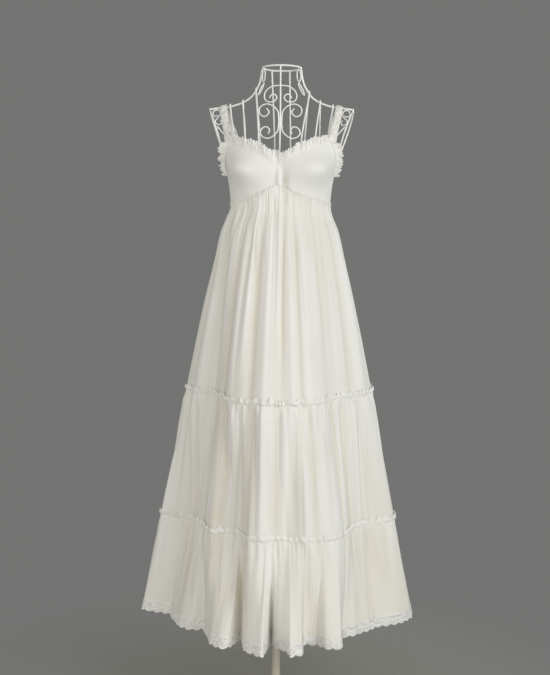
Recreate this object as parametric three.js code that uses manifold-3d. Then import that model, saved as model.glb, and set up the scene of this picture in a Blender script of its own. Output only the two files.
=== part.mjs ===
// A sleeveless tiered maxi dress on a limbless wire dress form.
// Millimetres, +Z up, the front faces -Y and +X is the wearer's left. The origin is on the floor below the pole.
// Every cloth piece is a wall of constant thickness over a surface worked out from the section tables below.
import * as THREE from "three";
import { mergeVertices } from "three/addons/utils/BufferGeometryUtils.js";
import Module from "manifold-3d";

// ---- Driving sizes ----
const CLOTH = 1.2; // wall of the dress fabric and the lace
const SEAM_GAP = 0.3; // between pieces that are sewn or welded together
const HEM_Z = 248;
const LACE_TALL = 26; // scalloped edging below the lowest tier
const TIER_1 = { z: 855, sag: 7 }; // lower edge of the upper tier, which hangs lower at the centre front
const TIER_2 = { z: 514, sag: 4 }; // lower edge of the middle tier
const SAG_WIDE = 40; // degrees over which the sag fades away from the centre front
const HEADING_TALL = 16; // frill that stands above each tier seam
const NECK_FRILL_TALL = 21;
const ARM_FRILL_WIDE = 14;
const STRAP_WIDE = 19;
const WIRE = 2; // radius of the form's ribs and rings
const FRAME_WIRE = 2.5; // radius of its shoulder wires and neck ring
const SCROLL_WIRE = 1.6; // radius of its ornaments
const POLE_R = 11.4;
const BASE_R = 150;
const BASE_THICK = 8;

// Outer face of the skirt's crests, from the empire seam to the hem.
const SKIRT = [
  { z: 1400, halfWidth: 129, front: 95, back: 84 },
  { z: 1340, halfWidth: 129, front: 92, back: 84 },
  { z: 1266, halfWidth: 154, front: 120, back: 108 },
  { z: 1191, halfWidth: 172, front: 139, back: 130 },
  { z: 1132, halfWidth: 186, front: 156, back: 146 },
  { z: 1041, halfWidth: 206, front: 181, back: 168 },
  { z: 855, halfWidth: 244, front: 228, back: 207 },
  { z: 514, halfWidth: 315, front: 268, back: 262 },
  { z: 248, halfWidth: 367, front: 350, back: 338 },
];

// The skirt's folds. At these angles, in degrees from the centre front towards the wearer's left, the cloth
// lies this far behind the crests at the upper seam, the lower seam and the hem.
const FOLD_TOP = 1290; // the folds start below this height
const FOLDS = [
  { at: -90, seam1: 0, seam2: 4, hem: 2 },
  { at: -88, seam1: 0, seam2: 5, hem: 3 },
  { at: -85, seam1: 4, seam2: 28, hem: 28 },
  { at: -79, seam1: 14, seam2: 58, hem: 80 },
  { at: -70, seam1: 26, seam2: 80, hem: 82 },
  { at: -60, seam1: 58, seam2: 84, hem: 77 },
  { at: -50, seam1: 50, seam2: 80, hem: 90 },
  { at: -45, seam1: 40, seam2: 72, hem: 118 },
  { at: -40, seam1: 30, seam2: 56, hem: 102 },
  { at: -35, seam1: 22, seam2: 46, hem: 86 },
  { at: -31, seam1: 18, seam2: 56, hem: 64 },
  { at: -27.5, seam1: 16, seam2: 66, hem: 44 },
  { at: -21.5, seam1: 10, seam2: 76, hem: 32 },
  { at: -18.6, seam1: 8, seam2: 64, hem: 40 },
  { at: -17.2, seam1: 7, seam2: 56, hem: 104 },
  { at: -14, seam1: 4, seam2: 34, hem: 74 },
  { at: -11, seam1: 2, seam2: 16, hem: 38 },
  { at: -6, seam1: 0, seam2: 17, hem: 14 },
  { at: -2.6, seam1: 0, seam2: 20, hem: 0 },
  { at: -1.3, seam1: 2, seam2: 24, hem: 60 },
  { at: -0.2, seam1: 3, seam2: 26, hem: 124 },
  { at: 2, seam1: 4, seam2: 28, hem: 72 },
  { at: 7, seam1: 3, seam2: 30, hem: 42 },
  { at: 8.4, seam1: 3, seam2: 26, hem: 3 },
  { at: 12.9, seam1: 0, seam2: 12, hem: 10 },
  { at: 16.4, seam1: 0, seam2: 7, hem: 82 },
  { at: 22.2, seam1: 0, seam2: 7, hem: 77 },
  { at: 25.1, seam1: 2, seam2: 8, hem: 42 },
  { at: 30.7, seam1: 10, seam2: 12, hem: 28 },
  { at: 35, seam1: 18, seam2: 24, hem: 58 },
  { at: 40.4, seam1: 26, seam2: 38, hem: 94 },
  { at: 48, seam1: 32, seam2: 60, hem: 87 },
  { at: 57, seam1: 28, seam2: 68, hem: 82 },
  { at: 66.4, seam1: 22, seam2: 62, hem: 76 },
  { at: 71.6, seam1: 14, seam2: 52, hem: 54 },
  { at: 80.4, seam1: 4, seam2: 16, hem: 16 },
  { at: 86.3, seam1: 0, seam2: 2, hem: 3 },
  { at: 91, seam1: 0, seam2: 2, hem: 2 },
  { at: 96, seam1: 2, seam2: 8, hem: 6 },
  { at: 101, seam1: 10, seam2: 26, hem: 46 },
  { at: 107, seam1: 13, seam2: 30, hem: 50 },
  { at: 112, seam1: 4, seam2: 8, hem: 8 },
  { at: 117, seam1: 6, seam2: 12, hem: 10 },
  { at: 122, seam1: 26, seam2: 44, hem: 66 },
  { at: 128, seam1: 28, seam2: 46, hem: 72 },
  { at: 133, seam1: 8, seam2: 14, hem: 16 },
  { at: 138, seam1: 4, seam2: 10, hem: 6 },
  { at: 142, seam1: 14, seam2: 34, hem: 60 },
  { at: 148, seam1: 17, seam2: 38, hem: 66 },
  { at: 153, seam1: 4, seam2: 12, hem: 14 },
  { at: 158, seam1: 6, seam2: 10, hem: 4 },
  { at: 162, seam1: 24, seam2: 46, hem: 70 },
  { at: 167, seam1: 26, seam2: 50, hem: 78 },
  { at: 171, seam1: 6, seam2: 12, hem: 20 },
  { at: 176, seam1: 2, seam2: 6, hem: 2 },
  { at: 181, seam1: 10, seam2: 30, hem: 56 },
  { at: 187, seam1: 12, seam2: 34, hem: 60 },
  { at: 192, seam1: 4, seam2: 10, hem: 12 },
  { at: 197, seam1: 8, seam2: 14, hem: 8 },
  { at: 201, seam1: 28, seam2: 50, hem: 74 },
  { at: 206, seam1: 30, seam2: 52, hem: 80 },
  { at: 211, seam1: 8, seam2: 16, hem: 22 },
  { at: 216, seam1: 4, seam2: 8, hem: 6 },
  { at: 220, seam1: 12, seam2: 32, hem: 54 },
  { at: 226, seam1: 14, seam2: 34, hem: 60 },
  { at: 231, seam1: 4, seam2: 10, hem: 12 },
  { at: 236, seam1: 8, seam2: 14, hem: 10 },
  { at: 241, seam1: 28, seam2: 48, hem: 70 },
  { at: 247, seam1: 26, seam2: 46, hem: 74 },
  { at: 252, seam1: 8, seam2: 14, hem: 20 },
  { at: 257, seam1: 4, seam2: 10, hem: 8 },
  { at: 262, seam1: 8, seam2: 20, hem: 36 },
  { at: 265, seam1: 3, seam2: 12, hem: 20 },
  { at: 268, seam1: 0, seam2: 5, hem: 3 },
];

// Outer face of the bodice. Above the underarm the width is that of the oval on which the armhole edge lies.
const BODICE = [
  { z: 1330, halfWidth: 129, front: 92, back: 84 },
  { z: 1360, halfWidth: 131, front: 92, back: 85 },
  { z: 1412, halfWidth: 138, front: 92, back: 86 },
  { z: 1450, halfWidth: 148, front: 90, back: 85 },
  { z: 1500, halfWidth: 158, front: 84, back: 84 },
];
const CUP = { at: 37, z: 1430, wide: 23, tall: 40, lift: 34 }; // the fullness of each cup
const PINCH = { wide: 8, depth: 7, fade: 60 }; // the hollow under the centre tab, fading down the skirt

// Height of the empire seam and of the bodice's upper edge round the body, by the angle from the centre front.
const EMPIRE_SEAM = [
  { angle: 0, z: 1388 },
  { angle: 5, z: 1384 },
  { angle: 14, z: 1373 },
  { angle: 27, z: 1362 },
  { angle: 46, z: 1352 },
  { angle: 90, z: 1340 },
  { angle: 180, z: 1340 },
];
const UPPER_EDGE = [
  { angle: 0, z: 1443 },
  { angle: 10, z: 1458 },
  { angle: 19, z: 1476 },
  { angle: 36, z: 1488 },
  { angle: 60, z: 1498 },
  { angle: 64, z: 1486 },
  { angle: 76, z: 1447 },
  { angle: 90, z: 1412 },
  { angle: 120, z: 1430 },
  { angle: 150, z: 1442 },
  { angle: 180, z: 1446 },
];
const STRAP_CORNER = 60; // angle where the neckline ends and the armhole begins
const FRILL_END = 97; // the armhole frill ends just behind the side seam

// The wire torso at wire centres.
const TORSO = [
  { z: 1000, halfWidth: 160, front: 112, back: 118 },
  { z: 1060, halfWidth: 163, front: 113, back: 122 },
  { z: 1150, halfWidth: 143, front: 96, back: 102 },
  { z: 1230, halfWidth: 110, front: 76, back: 72 },
  { z: 1350, halfWidth: 120, front: 80, back: 75 },
  { z: 1440, halfWidth: 131, front: 78, back: 76 },
  { z: 1505, halfWidth: 134, front: 60, back: 72 },
];
const HIP_Z = TORSO[0].z;
const WAIST_Z = 1230;
const UNDERBUST_Z = 1375;
const INSET = 2 * WIRE + SEAM_GAP; // a ring runs this far inside the ribs, and less where they bow in
const RINGS = [
  { name: "underbust_ring", z: UNDERBUST_Z, inset: INSET },
  { name: "waist_ring", z: WAIST_Z, inset: INSET - 1.6 },
  { name: "hip_ring", z: HIP_Z, inset: INSET },
];

const NECK = { y: -3, z: 1689, radius: 49, tilt: 2.5 }; // the ring's front is higher than its back
// The shoulder wire, from the neck ring to the shoulder tip, on the wearer's left.
const SHOULDER = [
  { x: 50, y: -3, z: 1686.1 },
  { x: 52.5, y: -2, z: 1668 },
  { x: 57.5, y: 0, z: 1649 },
  { x: 65, y: 1, z: 1634 },
  { x: 76, y: 2, z: 1618 },
  { x: 95, y: 3, z: 1604 },
  { x: 118, y: 4, z: 1595 },
  { x: 138, y: 5, z: 1590 },
  { x: 165, y: 5, z: 1587 },
  { x: 188, y: 5, z: 1584 },
];
// The middle rib above the bust.
const CHEST = [
  { z: 1691, y: -56.8 },
  { z: 1660, y: -54 },
  { z: 1610, y: -50 },
  { z: 1560, y: -52 },
  { z: 1505, y: -60 },
];
// The ribs on each side: where they leave the shoulder wire, which differs a little from side to side,
// and the angle at which they run down the torso.
const SIDE_RIBS = [
  { name: "front_rib_1", left: 72, right: 66, angle: 24 },
  { name: "front_rib_2", left: 100, right: 100, angle: 42 },
  { name: "front_rib_3", left: 133, right: 133, angle: 64 },
  { name: "back_rib_1", left: 70, right: 66, angle: 154 },
  { name: "back_rib_2", left: 100, right: 100, angle: 133 },
  { name: "back_rib_3", left: 133, right: 133, angle: 110 },
];
const NECK_RIB = { left: 160, right: 149, angle: 171 }; // the pair that leaves the back of the neck ring

// The arm ring: its middle, and half its height and depth as vectors.
const ARM_RING = { middle: [168, 8, 1526], up: [17.3, -3, 53.7], fore: [-4, -31, 0] };
// The chest scrolls beside the middle rib: an arch that curls in, and a C whose back lies on the rib.
const ARCH_SCROLL = [
  { x: 2.6, z: 1641 },
  { x: 21.5, z: 1638.5 },
  { x: 36.5, z: 1628 },
  { x: 41.5, z: 1615 },
  { x: 38, z: 1604 },
  { x: 27.5, z: 1599.5 },
  { x: 15, z: 1602 },
  { x: 9.5, z: 1610 },
  { x: 12.5, z: 1617 },
  { x: 20.5, z: 1619 },
  { x: 25.5, z: 1615 },
  { x: 28.5, z: 1609 },
];
const C_SCROLL = [
  { x: 35.5, z: 1584 },
  { x: 29, z: 1573.5 },
  { x: 39.5, z: 1563 },
  { x: 52.5, z: 1570 },
  { x: 53, z: 1585 },
  { x: 38, z: 1594.5 },
  { x: 18.5, z: 1589.5 },
  { x: 6.5, z: 1576 },
  { x: 4.2, z: 1562 },
  { x: 4.2, z: 1540 },
  { x: 7.5, z: 1524 },
  { x: 28, z: 1508 },
  { x: 45, z: 1512 },
  { x: 51, z: 1523 },
  { x: 45, z: 1534 },
  { x: 34.5, z: 1537 },
  { x: 27, z: 1529 },
  { x: 30.5, z: 1519 },
];
// The small S below each shoulder tip: it hangs from the underside of the shoulder wire.
const SHOULDER_SCROLL = [
  { x: 163, y: -7, z: 1569 },
  { x: 169, y: -7, z: 1565 },
  { x: 176, y: -5, z: 1569 },
  { x: 176, y: -1, z: 1577.5 },
  { x: 169, y: 4.5, z: 1582.4 },
  { x: 160.5, y: 0, z: 1579.5 },
  { x: 158, y: -5, z: 1571 },
  { x: 163, y: -8, z: 1562 },
  { x: 170, y: -8, z: 1554 },
  { x: 167, y: -8, z: 1546 },
  { x: 157, y: -8, z: 1545 },
  { x: 154, y: -8, z: 1552 },
  { x: 159, y: -8, z: 1556 },
];
// The brace joins the arm ring to the outer front rib; its ends stop short of their middle lines.
const ARM_BRACE = { ringShare: 0.354, topShort: 7.8, ribZ: 1500, footShort: 5.9, sag: 4 };
// Two long loops on each side of the neck: their middles, and half their height and depth as vectors.
const NECK_LOOPS = [
  { name: "neck_loop", middle: [45.2, -17.9, 1668.5], up: [-0.5, -0.5, 15.8], fore: [-4.4, -12.2, 0] },
  { name: "lower_neck_loop", middle: [51.8, -12.4, 1634.7], up: [-7.2, -4, 15], fore: [-2.9, -8.5, 0] },
];

// ---- Small tools ----
const radians = THREE.MathUtils.degToRad;
const lerp = THREE.MathUtils.lerp;

// The value of one column at `at`, on a smooth curve that never overshoots the rows.
function along(rows, key, column, at) {
  const sorted = rows[0][key] < rows[1][key] ? rows : [...rows].reverse();
  const last = sorted.length - 1;
  if (at <= sorted[0][key]) return sorted[0][column];
  if (at >= sorted[last][key]) return sorted[last][column];
  const i = sorted.findIndex((row) => row[key] > at) - 1;
  const span = (k) => sorted[k + 1][key] - sorted[k][key];
  const slope = (k) => (sorted[k + 1][column] - sorted[k][column]) / span(k);
  const tangent = (k) => {
    if (k === 0) return slope(0);
    if (k === last) return slope(last - 1);
    const before = slope(k - 1);
    const after = slope(k);
    return before * after <= 0 ? 0 : (2 * before * after) / (before + after);
  };
  const h = span(i);
  const t = (at - sorted[i][key]) / h;
  const rise = sorted[i + 1][column] - sorted[i][column];
  const [m0, m1] = [tangent(i) * h, tangent(i + 1) * h];
  return sorted[i][column] + m0 * t + (3 * rise - 2 * m0 - m1) * t * t + (m0 + m1 - 2 * rise) * t ** 3;
}

// An angle brought into -180 to 180 degrees.
const wrapped = (angle) => angle - 360 * Math.round(angle / 360);

// A point on the oval of a section table, moved out by `lift` square to the oval.
function onOval(table, angle, z, lift = 0) {
  const a = along(table, "z", "halfWidth", z);
  const b = along(table, "z", Math.abs(wrapped(angle)) <= 90 ? "front" : "back", z);
  const [s, c] = [Math.sin(radians(angle)), Math.cos(radians(angle))];
  const out = Math.hypot(s / a, c / b);
  return new THREE.Vector3(a * s + (lift * s) / a / out, -b * c - (lift * c) / b / out, z);
}

// Evenly spaced values from `low` to `high`.
const steps = (low, high, count) => Array.from({ length: count + 1 }, (_, i) => lerp(low, high, i / count));

// A closed wall. point(u, v) is its outer face, with u running towards the wearer's left and v upwards.
function wall(point, us, vs, thick = CLOTH) {
  const [nu, nv] = [us.length, vs.length];
  const positions = [];
  const outerPoint = (i, j) => point(us[i], vs[j]);
  const inner = [];
  for (let i = 0; i < nu; i++) {
    for (let j = 0; j < nv; j++) {
      const here = outerPoint(i, j);
      const du = outerPoint(Math.min(i + 1, nu - 1), j).sub(outerPoint(Math.max(i - 1, 0), j));
      const dv = outerPoint(i, Math.min(j + 1, nv - 1)).sub(outerPoint(i, Math.max(j - 1, 0)));
      const normal = du.cross(dv).normalize();
      positions.push(here.x, here.y, here.z);
      inner.push(here.x - normal.x * thick, here.y - normal.y * thick, here.z - normal.z * thick);
    }
  }
  positions.push(...inner);
  const outer = (i, j) => i * nv + j;
  const behind = (i, j) => nu * nv + i * nv + j;
  const index = [];
  const quad = (a, b, c, d) => index.push(a, b, c, a, c, d);
  for (let i = 0; i < nu - 1; i++) {
    for (let j = 0; j < nv - 1; j++) {
      quad(outer(i, j), outer(i + 1, j), outer(i + 1, j + 1), outer(i, j + 1));
      quad(behind(i, j), behind(i, j + 1), behind(i + 1, j + 1), behind(i + 1, j));
    }
    quad(outer(i, 0), behind(i, 0), behind(i + 1, 0), outer(i + 1, 0));
    quad(outer(i, nv - 1), outer(i + 1, nv - 1), behind(i + 1, nv - 1), behind(i, nv - 1));
  }
  for (let j = 0; j < nv - 1; j++) {
    quad(outer(0, j), outer(0, j + 1), behind(0, j + 1), behind(0, j));
    quad(outer(nu - 1, j), behind(nu - 1, j), behind(nu - 1, j + 1), outer(nu - 1, j + 1));
  }
  const geometry = new THREE.BufferGeometry();
  geometry.setAttribute("position", new THREE.Float32BufferAttribute(positions, 3));
  geometry.setIndex(index);
  geometry.computeVertexNormals();
  return geometry;
}

// A round wire bent along a smooth open curve.
function wire(points, radius, bends, sides = 6) {
  const section = new THREE.Shape(
    steps(0, 2 * Math.PI, sides)
      .slice(0, sides)
      .map((t) => new THREE.Vector2(radius * Math.cos(t), radius * Math.sin(t))),
  );
  const extrudePath = new THREE.CatmullRomCurve3(points, false, "centripetal");
  return new THREE.ExtrudeGeometry(section, { steps: bends, extrudePath });
}

// A round wire welded into a closed loop.
function hoop(points, radius, bends, sides = 6) {
  return new THREE.TubeGeometry(new THREE.CatmullRomCurve3(points, true), bends, radius, sides, true);
}

const mirrored = (points) => points.map((p) => new THREE.Vector3(-p.x, p.y, p.z));
const onSide = (sign, points) => (sign > 0 ? points : mirrored(points));
const SIDES = [
  { side: "left", sign: 1 },
  { side: "right", sign: -1 },
];

// A turned solid from rows of [radius, height] about the Z axis.
function turned(profile, segments = 32) {
  const points = profile.map(([radius, height]) => new THREE.Vector2(radius, height));
  return new THREE.LatheGeometry(points, segments).rotateX(Math.PI / 2);
}

const wasm = await Module();
wasm.setup();
function solid(geometry) {
  const bare = geometry.clone();
  bare.deleteAttribute("normal");
  bare.deleteAttribute("uv");
  const merged = mergeVertices(bare, 1e-4);
  const vertProperties = new Float32Array(merged.attributes.position.array);
  const triVerts = new Uint32Array(merged.index.array);
  return new wasm.Manifold(new wasm.Mesh({ numProp: 3, vertProperties, triVerts }));
}
function joined(geometries) {
  const mesh = geometries.map(solid).reduce((all, next) => all.add(next)).getMesh();
  const geometry = new THREE.BufferGeometry();
  geometry.setAttribute("position", new THREE.BufferAttribute(mesh.vertProperties, 3));
  geometry.setIndex(new THREE.BufferAttribute(mesh.triVerts, 1));
  geometry.computeVertexNormals();
  return geometry;
}

// ---- Materials ----
const fabric = new THREE.MeshStandardMaterial({ color: 0xf4f1ea, roughness: 0.85, metalness: 0, side: 2 });
const lace = new THREE.MeshStandardMaterial({ color: 0xf2efe9, roughness: 0.9, metalness: 0, side: 2 });
const enamel = new THREE.MeshStandardMaterial({ color: 0xf1f1ee, roughness: 0.35, metalness: 0 });
const cream = new THREE.MeshStandardMaterial({ color: 0xcfc8b6, roughness: 0.45, metalness: 0 });

const dress = new THREE.Group();
const form = new THREE.Group();
function add(group, name, geometry, material) {
  const mesh = new THREE.Mesh(geometry, material);
  mesh.name = name;
  group.add(mesh);
}

// ---- Skirt ----
// How far the cloth lies behind the crests at this angle and height. Rows at both ends are repeated a full
// turn away, so that the curve closes, and each height's curve is kept once it has been worked out.
const foldHeights = (fold) => [
  { z: HEM_Z, depth: fold.hem },
  { z: TIER_2.z, depth: fold.seam2 },
  { z: TIER_1.z, depth: fold.seam1 },
  { z: FOLD_TOP, depth: 0 },
];
const foldCurves = new Map();
function foldDepth(angle, z) {
  if (!foldCurves.has(z)) {
    const rows = FOLDS.map((fold) => ({ at: fold.at, depth: along(foldHeights(fold), "z", "depth", z) }));
    const before = { at: rows.at(-1).at - 360, depth: rows.at(-1).depth };
    const after = { at: rows[0].at + 360, depth: rows[0].depth };
    foldCurves.set(z, [before, ...rows, after]);
  }
  const turn = ((((angle + 90) % 360) + 360) % 360) - 90;
  return along(foldCurves.get(z), "at", "depth", turn);
}
const seamZ = (angle) => along(EMPIRE_SEAM, "angle", "z", Math.abs(wrapped(angle)));
const pinch = (angle) => PINCH.depth * Math.exp(-((wrapped(angle) / PINCH.wide) ** 2));
function skirt(angle, z) {
  const pinched = pinch(angle) * Math.max(0, 1 - (seamZ(angle) - z) / PINCH.fade);
  return onOval(SKIRT, angle, z, -foldDepth(angle, z) - pinched);
}

// Columns at every row of the folds, with no step wider than `widest` degrees.
function columns(low, high, widest) {
  const inside = FOLDS.map(({ at }) => at).filter((at) => at > low + 0.5 && at < high - 0.5);
  const marks = [low, ...inside, high];
  return marks.flatMap((mark, i) => {
    if (i === 0) return [mark];
    const before = marks[i - 1];
    return steps(before, mark, Math.ceil((mark - before) / widest)).slice(1);
  });
}
const SIDE_GAP = 0.08; // degrees left open at each side seam
const HALVES = [
  { side: "front", turns: columns(-90 + SIDE_GAP, 90 - SIDE_GAP, 6) },
  { side: "back", turns: columns(90 + SIDE_GAP, 270 - SIDE_GAP, 6) },
];

// A tier hangs from one line round the body to another; each line is a height worked out from the angle.
const hemLine = () => HEM_Z;
const laceTop = () => HEM_Z + LACE_TALL + SEAM_GAP;
const tierLine = ({ z, sag }) => (angle) => z - sag * Math.exp(-((wrapped(angle) / SAG_WIDE) ** 2));
const seam1Line = tierLine(TIER_1);
const seam2Line = tierLine(TIER_2);
const tier = (lower, upper) => (angle, v) => skirt(angle, lerp(lower(angle), upper(angle) - SEAM_GAP, v));
const TIERS = [
  { name: "tier_1", shape: tier(seam1Line, seamZ), rows: [0, 0.25, 0.48, 0.7, 0.87, 1], cloth: fabric },
  { name: "tier_2", shape: tier(seam2Line, seam1Line), rows: steps(0, 1, 3), cloth: fabric },
  { name: "tier_3", shape: tier(laceTop, seam2Line), rows: steps(0, 1, 3), cloth: fabric },
  { name: "hem_lace", shape: tier(hemLine, laceTop), rows: [0, 1], cloth: lace },
];
for (const { name, shape, rows, cloth } of TIERS) {
  for (const { side, turns } of HALVES) add(dress, `${name}_${side}`, wall(shape, turns, rows), cloth);
}

// A point above the faceted skirt panel, between two of its columns and square to it.
function overSkirt(turns, angle, z, lift) {
  const last = turns.length - 2;
  const i = Math.min(last, Math.max(0, turns.findLastIndex((turn) => turn <= angle)));
  const share = (angle - turns[i]) / (turns[i + 1] - turns[i]);
  const edge = (k) => {
    const [before, after] = [Math.max(0, k - 1), Math.min(turns.length - 1, k + 1)];
    const across = skirt(turns[after], z).sub(skirt(turns[before], z));
    const upward = skirt(turns[k], z + 10).sub(skirt(turns[k], z));
    return skirt(turns[k], z).addScaledVector(across.cross(upward).normalize(), lift);
  };
  return edge(i).lerp(edge(i + 1), share);
}

// The gathered edge of each lower tier stands up over its seam as a small rippled frill.
const HEADING = { lean: 3.4, ripple: 1.6, ripples: 90 };
const HEADINGS = [
  { name: "heading_1", line: seam1Line, lift: 2.3 },
  { name: "heading_2", line: seam2Line, lift: 2.6 },
];
for (const { name, line, lift } of HEADINGS) {
  for (const { side, turns } of HALVES) {
    const frill = (angle, v) => {
      const ripple = HEADING.ripple * v * Math.sin(radians(angle * HEADING.ripples));
      return overSkirt(turns, angle, line(angle) + HEADING_TALL * v, lift + HEADING.lean * v + ripple);
    };
    const parts = (i) => (turns[i] - turns[i - 1] > 4.5 ? 2 : 1);
    const halved = turns.flatMap((turn, i) => (i === 0 ? [turn] : steps(turns[i - 1], turn, parts(i)).slice(1)));
    add(dress, `${name}_${side}`, wall(frill, halved, [0.04, 1]), fabric);
  }
}

// ---- Bodice ----
const edgeZ = (angle) => along(UPPER_EDGE, "angle", "z", Math.abs(wrapped(angle)));
function bodice(angle, z, lift = 0) {
  const off = Math.abs(wrapped(angle));
  const cup = CUP.lift * Math.exp(-(((off - CUP.at) / CUP.wide) ** 2) - ((z - CUP.z) / CUP.tall) ** 2);
  return onOval(BODICE, angle, z, lift + cup - pinch(angle));
}
const panel = (angle, v) => bodice(angle, lerp(seamZ(angle), edgeZ(angle), v));

const CUP_TURNS = [0.15, 7, 14, 21, 28, 35, 42, 50, STRAP_CORNER, 64, 70, 76, 83, 90 - 2 * SIDE_GAP];
const CUP_ROWS = [0, 0.18, 0.36, 0.54, 0.72, 0.88, 1];
add(dress, "cup_left", wall(panel, CUP_TURNS, CUP_ROWS), fabric);
add(dress, "cup_right", wall(panel, CUP_TURNS.map((turn) => -turn).reverse(), CUP_ROWS), fabric);
const BACK_TURNS = steps(90 + 2 * SIDE_GAP, 270 - 2 * SIDE_GAP, 16);
add(dress, "bodice_back", wall(panel, BACK_TURNS, steps(0, 1, 3)), fabric);

const TAB = { low: 1389, high: 1438, lift: 3.2, turn: 3.6 };
const tab = (angle, z) => bodice(angle, z, TAB.lift);
add(dress, "centre_tab", wall(tab, [-TAB.turn, 0, TAB.turn], steps(TAB.low, TAB.high, 4)), fabric);

// Lace frills. Each one starts just outside the panel's edge and fans out from it in ripples.
const FRILL = { lift: 2.4, lean: 3.5, ripple: 1.8, below: 7, middleTaller: 1.3 };
for (const { side, sign } of SIDES) {
  const ordered = (turns) => (sign > 0 ? turns : turns.map((turn) => -turn).reverse());
  const neckFrill = (angle, v) => {
    const ripple = FRILL.ripple * v * Math.sin(radians(angle * 60));
    const base = bodice(angle, edgeZ(angle) - FRILL.below, FRILL.lift + FRILL.lean * v * v + ripple);
    const taller = lerp(FRILL.middleTaller, 1, Math.min(1, Math.abs(angle) / 14));
    return base.setZ(base.z + (FRILL.below + NECK_FRILL_TALL) * taller * v);
  };
  const neckTurns = ordered(steps(1.2, STRAP_CORNER - 1, 20));
  add(dress, `neck_frill_${side}`, wall(neckFrill, neckTurns, [0, 0.5, 1]), lace);

  const armFrill = (angle, v) => {
    const edge = bodice(angle, edgeZ(angle));
    const outward = bodice(angle, edgeZ(angle), 1).sub(edge);
    const backward = bodice(angle + sign, edgeZ(angle)).sub(edge).normalize();
    const past = Math.max(0, (Math.abs(angle) - STRAP_CORNER) / (FRILL_END - STRAP_CORNER));
    const reach = ARM_FRILL_WIDE * lerp(1, 0.45, past ** 3) * (1 - v);
    const away = outward.addScaledVector(backward, lerp(0.8, 0, past)).normalize();
    const ripple = FRILL.ripple * (1 - v) * Math.sin(radians(angle * 75));
    return edge.addScaledVector(away, CLOTH / 2 + SEAM_GAP + reach).setY(edge.y + ripple);
  };
  const armTurns = ordered(steps(STRAP_CORNER + 1.5, FRILL_END, 15));
  add(dress, `arm_frill_${side}`, wall(armFrill, armTurns, [0, 0.5, 1]), lace);
}

// The strap, from the cup over the shoulder to the back: its middle line and the direction of its width.
const STRAP = [
  { x: 136.6, y: -42.4, z: 1498.9, across: [0.72, 0.69, 0.05] },
  { x: 139.5, y: -35, z: 1528, across: [0.92, 0.38, -0.02] },
  { x: 145, y: -20, z: 1558, across: [0.98, 0.12, -0.1] },
  { x: 149, y: -6, z: 1584, across: [0.99, 0.03, -0.14] },
  { x: 150, y: 5, z: 1593.4, across: [0.99, 0, -0.12] },
  { x: 148, y: 17, z: 1583, across: [0.985, -0.03, -0.14] },
  { x: 138, y: 48, z: 1550, across: [0.95, -0.25, -0.12] },
  { x: 119, y: 74, z: 1500, across: [0.85, -0.5, -0.1] },
  { x: 98.5, y: 62.5, z: 1438.6, across: [0.78, -0.62, -0.05] },
];
const strapMiddle = STRAP.map((row) => new THREE.Vector3(row.x, row.y, row.z));
const strapLine = new THREE.CatmullRomCurve3(strapMiddle, false, "centripetal");
const strapWidth = new THREE.CatmullRomCurve3(STRAP.map((row) => new THREE.Vector3(...row.across)));
for (const { side, sign } of SIDES) {
  const strap = (u, v) => {
    const across = strapWidth.getPoint(v).normalize();
    const point = strapLine.getPoint(v).addScaledVector(across, (u * sign * STRAP_WIDE) / 2);
    return point.setX(point.x * sign);
  };
  add(dress, `strap_${side}`, wall(strap, [-1, 0, 1], steps(0, 1, 16)), fabric);
}

// ---- Wire form ----
const BUST = { at: 38, z: 1432, wide: 24, tall: 42, lift: 24 };
function torso(angle, z, lift = 0) {
  const off = Math.abs(wrapped(angle));
  const bust = BUST.lift * Math.exp(-(((off - BUST.at) / BUST.wide) ** 2) - ((z - BUST.z) / BUST.tall) ** 2);
  return onOval(TORSO, angle, z, bust + lift);
}
const RIB_HEIGHTS = [1505, 1445, UNDERBUST_Z, 1300, WAIST_Z, 1150, 1060, HIP_Z - 3];
const down = (angle) => RIB_HEIGHTS.map((z) => torso(angle, z));
const shoulder = (x) => new THREE.Vector3(x, along(SHOULDER, "x", "y", x), along(SHOULDER, "x", "z", x));
function neckRing(angle, lift = 0) {
  const [s, c] = [Math.sin(radians(angle)), Math.cos(radians(angle))];
  const reach = NECK.radius + lift;
  return new THREE.Vector3(reach * s, NECK.y - reach * c, NECK.z + NECK.tilt * c);
}

const aroundOnce = steps(0, 360, 24).slice(0, 24);
add(form, "neck_ring", hoop(aroundOnce.map((angle) => neckRing(angle)), FRAME_WIRE, 24), enamel);
for (const { name, z, inset } of RINGS) {
  add(form, name, hoop(aroundOnce.map((angle) => torso(angle, z, -inset)), WIRE, 32), enamel);
}

const chest = (z) => new THREE.Vector3(0, along(CHEST, "z", "y", z), z);
const middleRib = [...CHEST.slice(0, -1).map(({ z }) => chest(z)), ...down(0)];
add(form, "front_rib_middle", wire(middleRib, WIRE, 16), enamel);

const hook = FRAME_WIRE + WIRE + SEAM_GAP; // from the middle of the shoulder wire to the middle of a rib
for (const { side, sign } of SIDES) {
  const xs = SHOULDER.map(({ x }) => x);
  add(form, `shoulder_wire_${side}`, wire(onSide(sign, xs.map(shoulder)), FRAME_WIRE, 14), enamel);
  for (const rib of SIDE_RIBS) {
    const top = shoulder(rib[side]);
    top.y += rib.angle < 90 ? -hook : hook;
    add(form, `${rib.name}_${side}`, wire(onSide(sign, [top, ...down(rib.angle)]), WIRE, 12), enamel);
  }
  const neckRib = [neckRing(NECK_RIB[side], hook), ...down(NECK_RIB.angle)];
  add(form, `back_rib_0_${side}`, wire(onSide(sign, neckRib), WIRE, 14), enamel);
}

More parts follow.
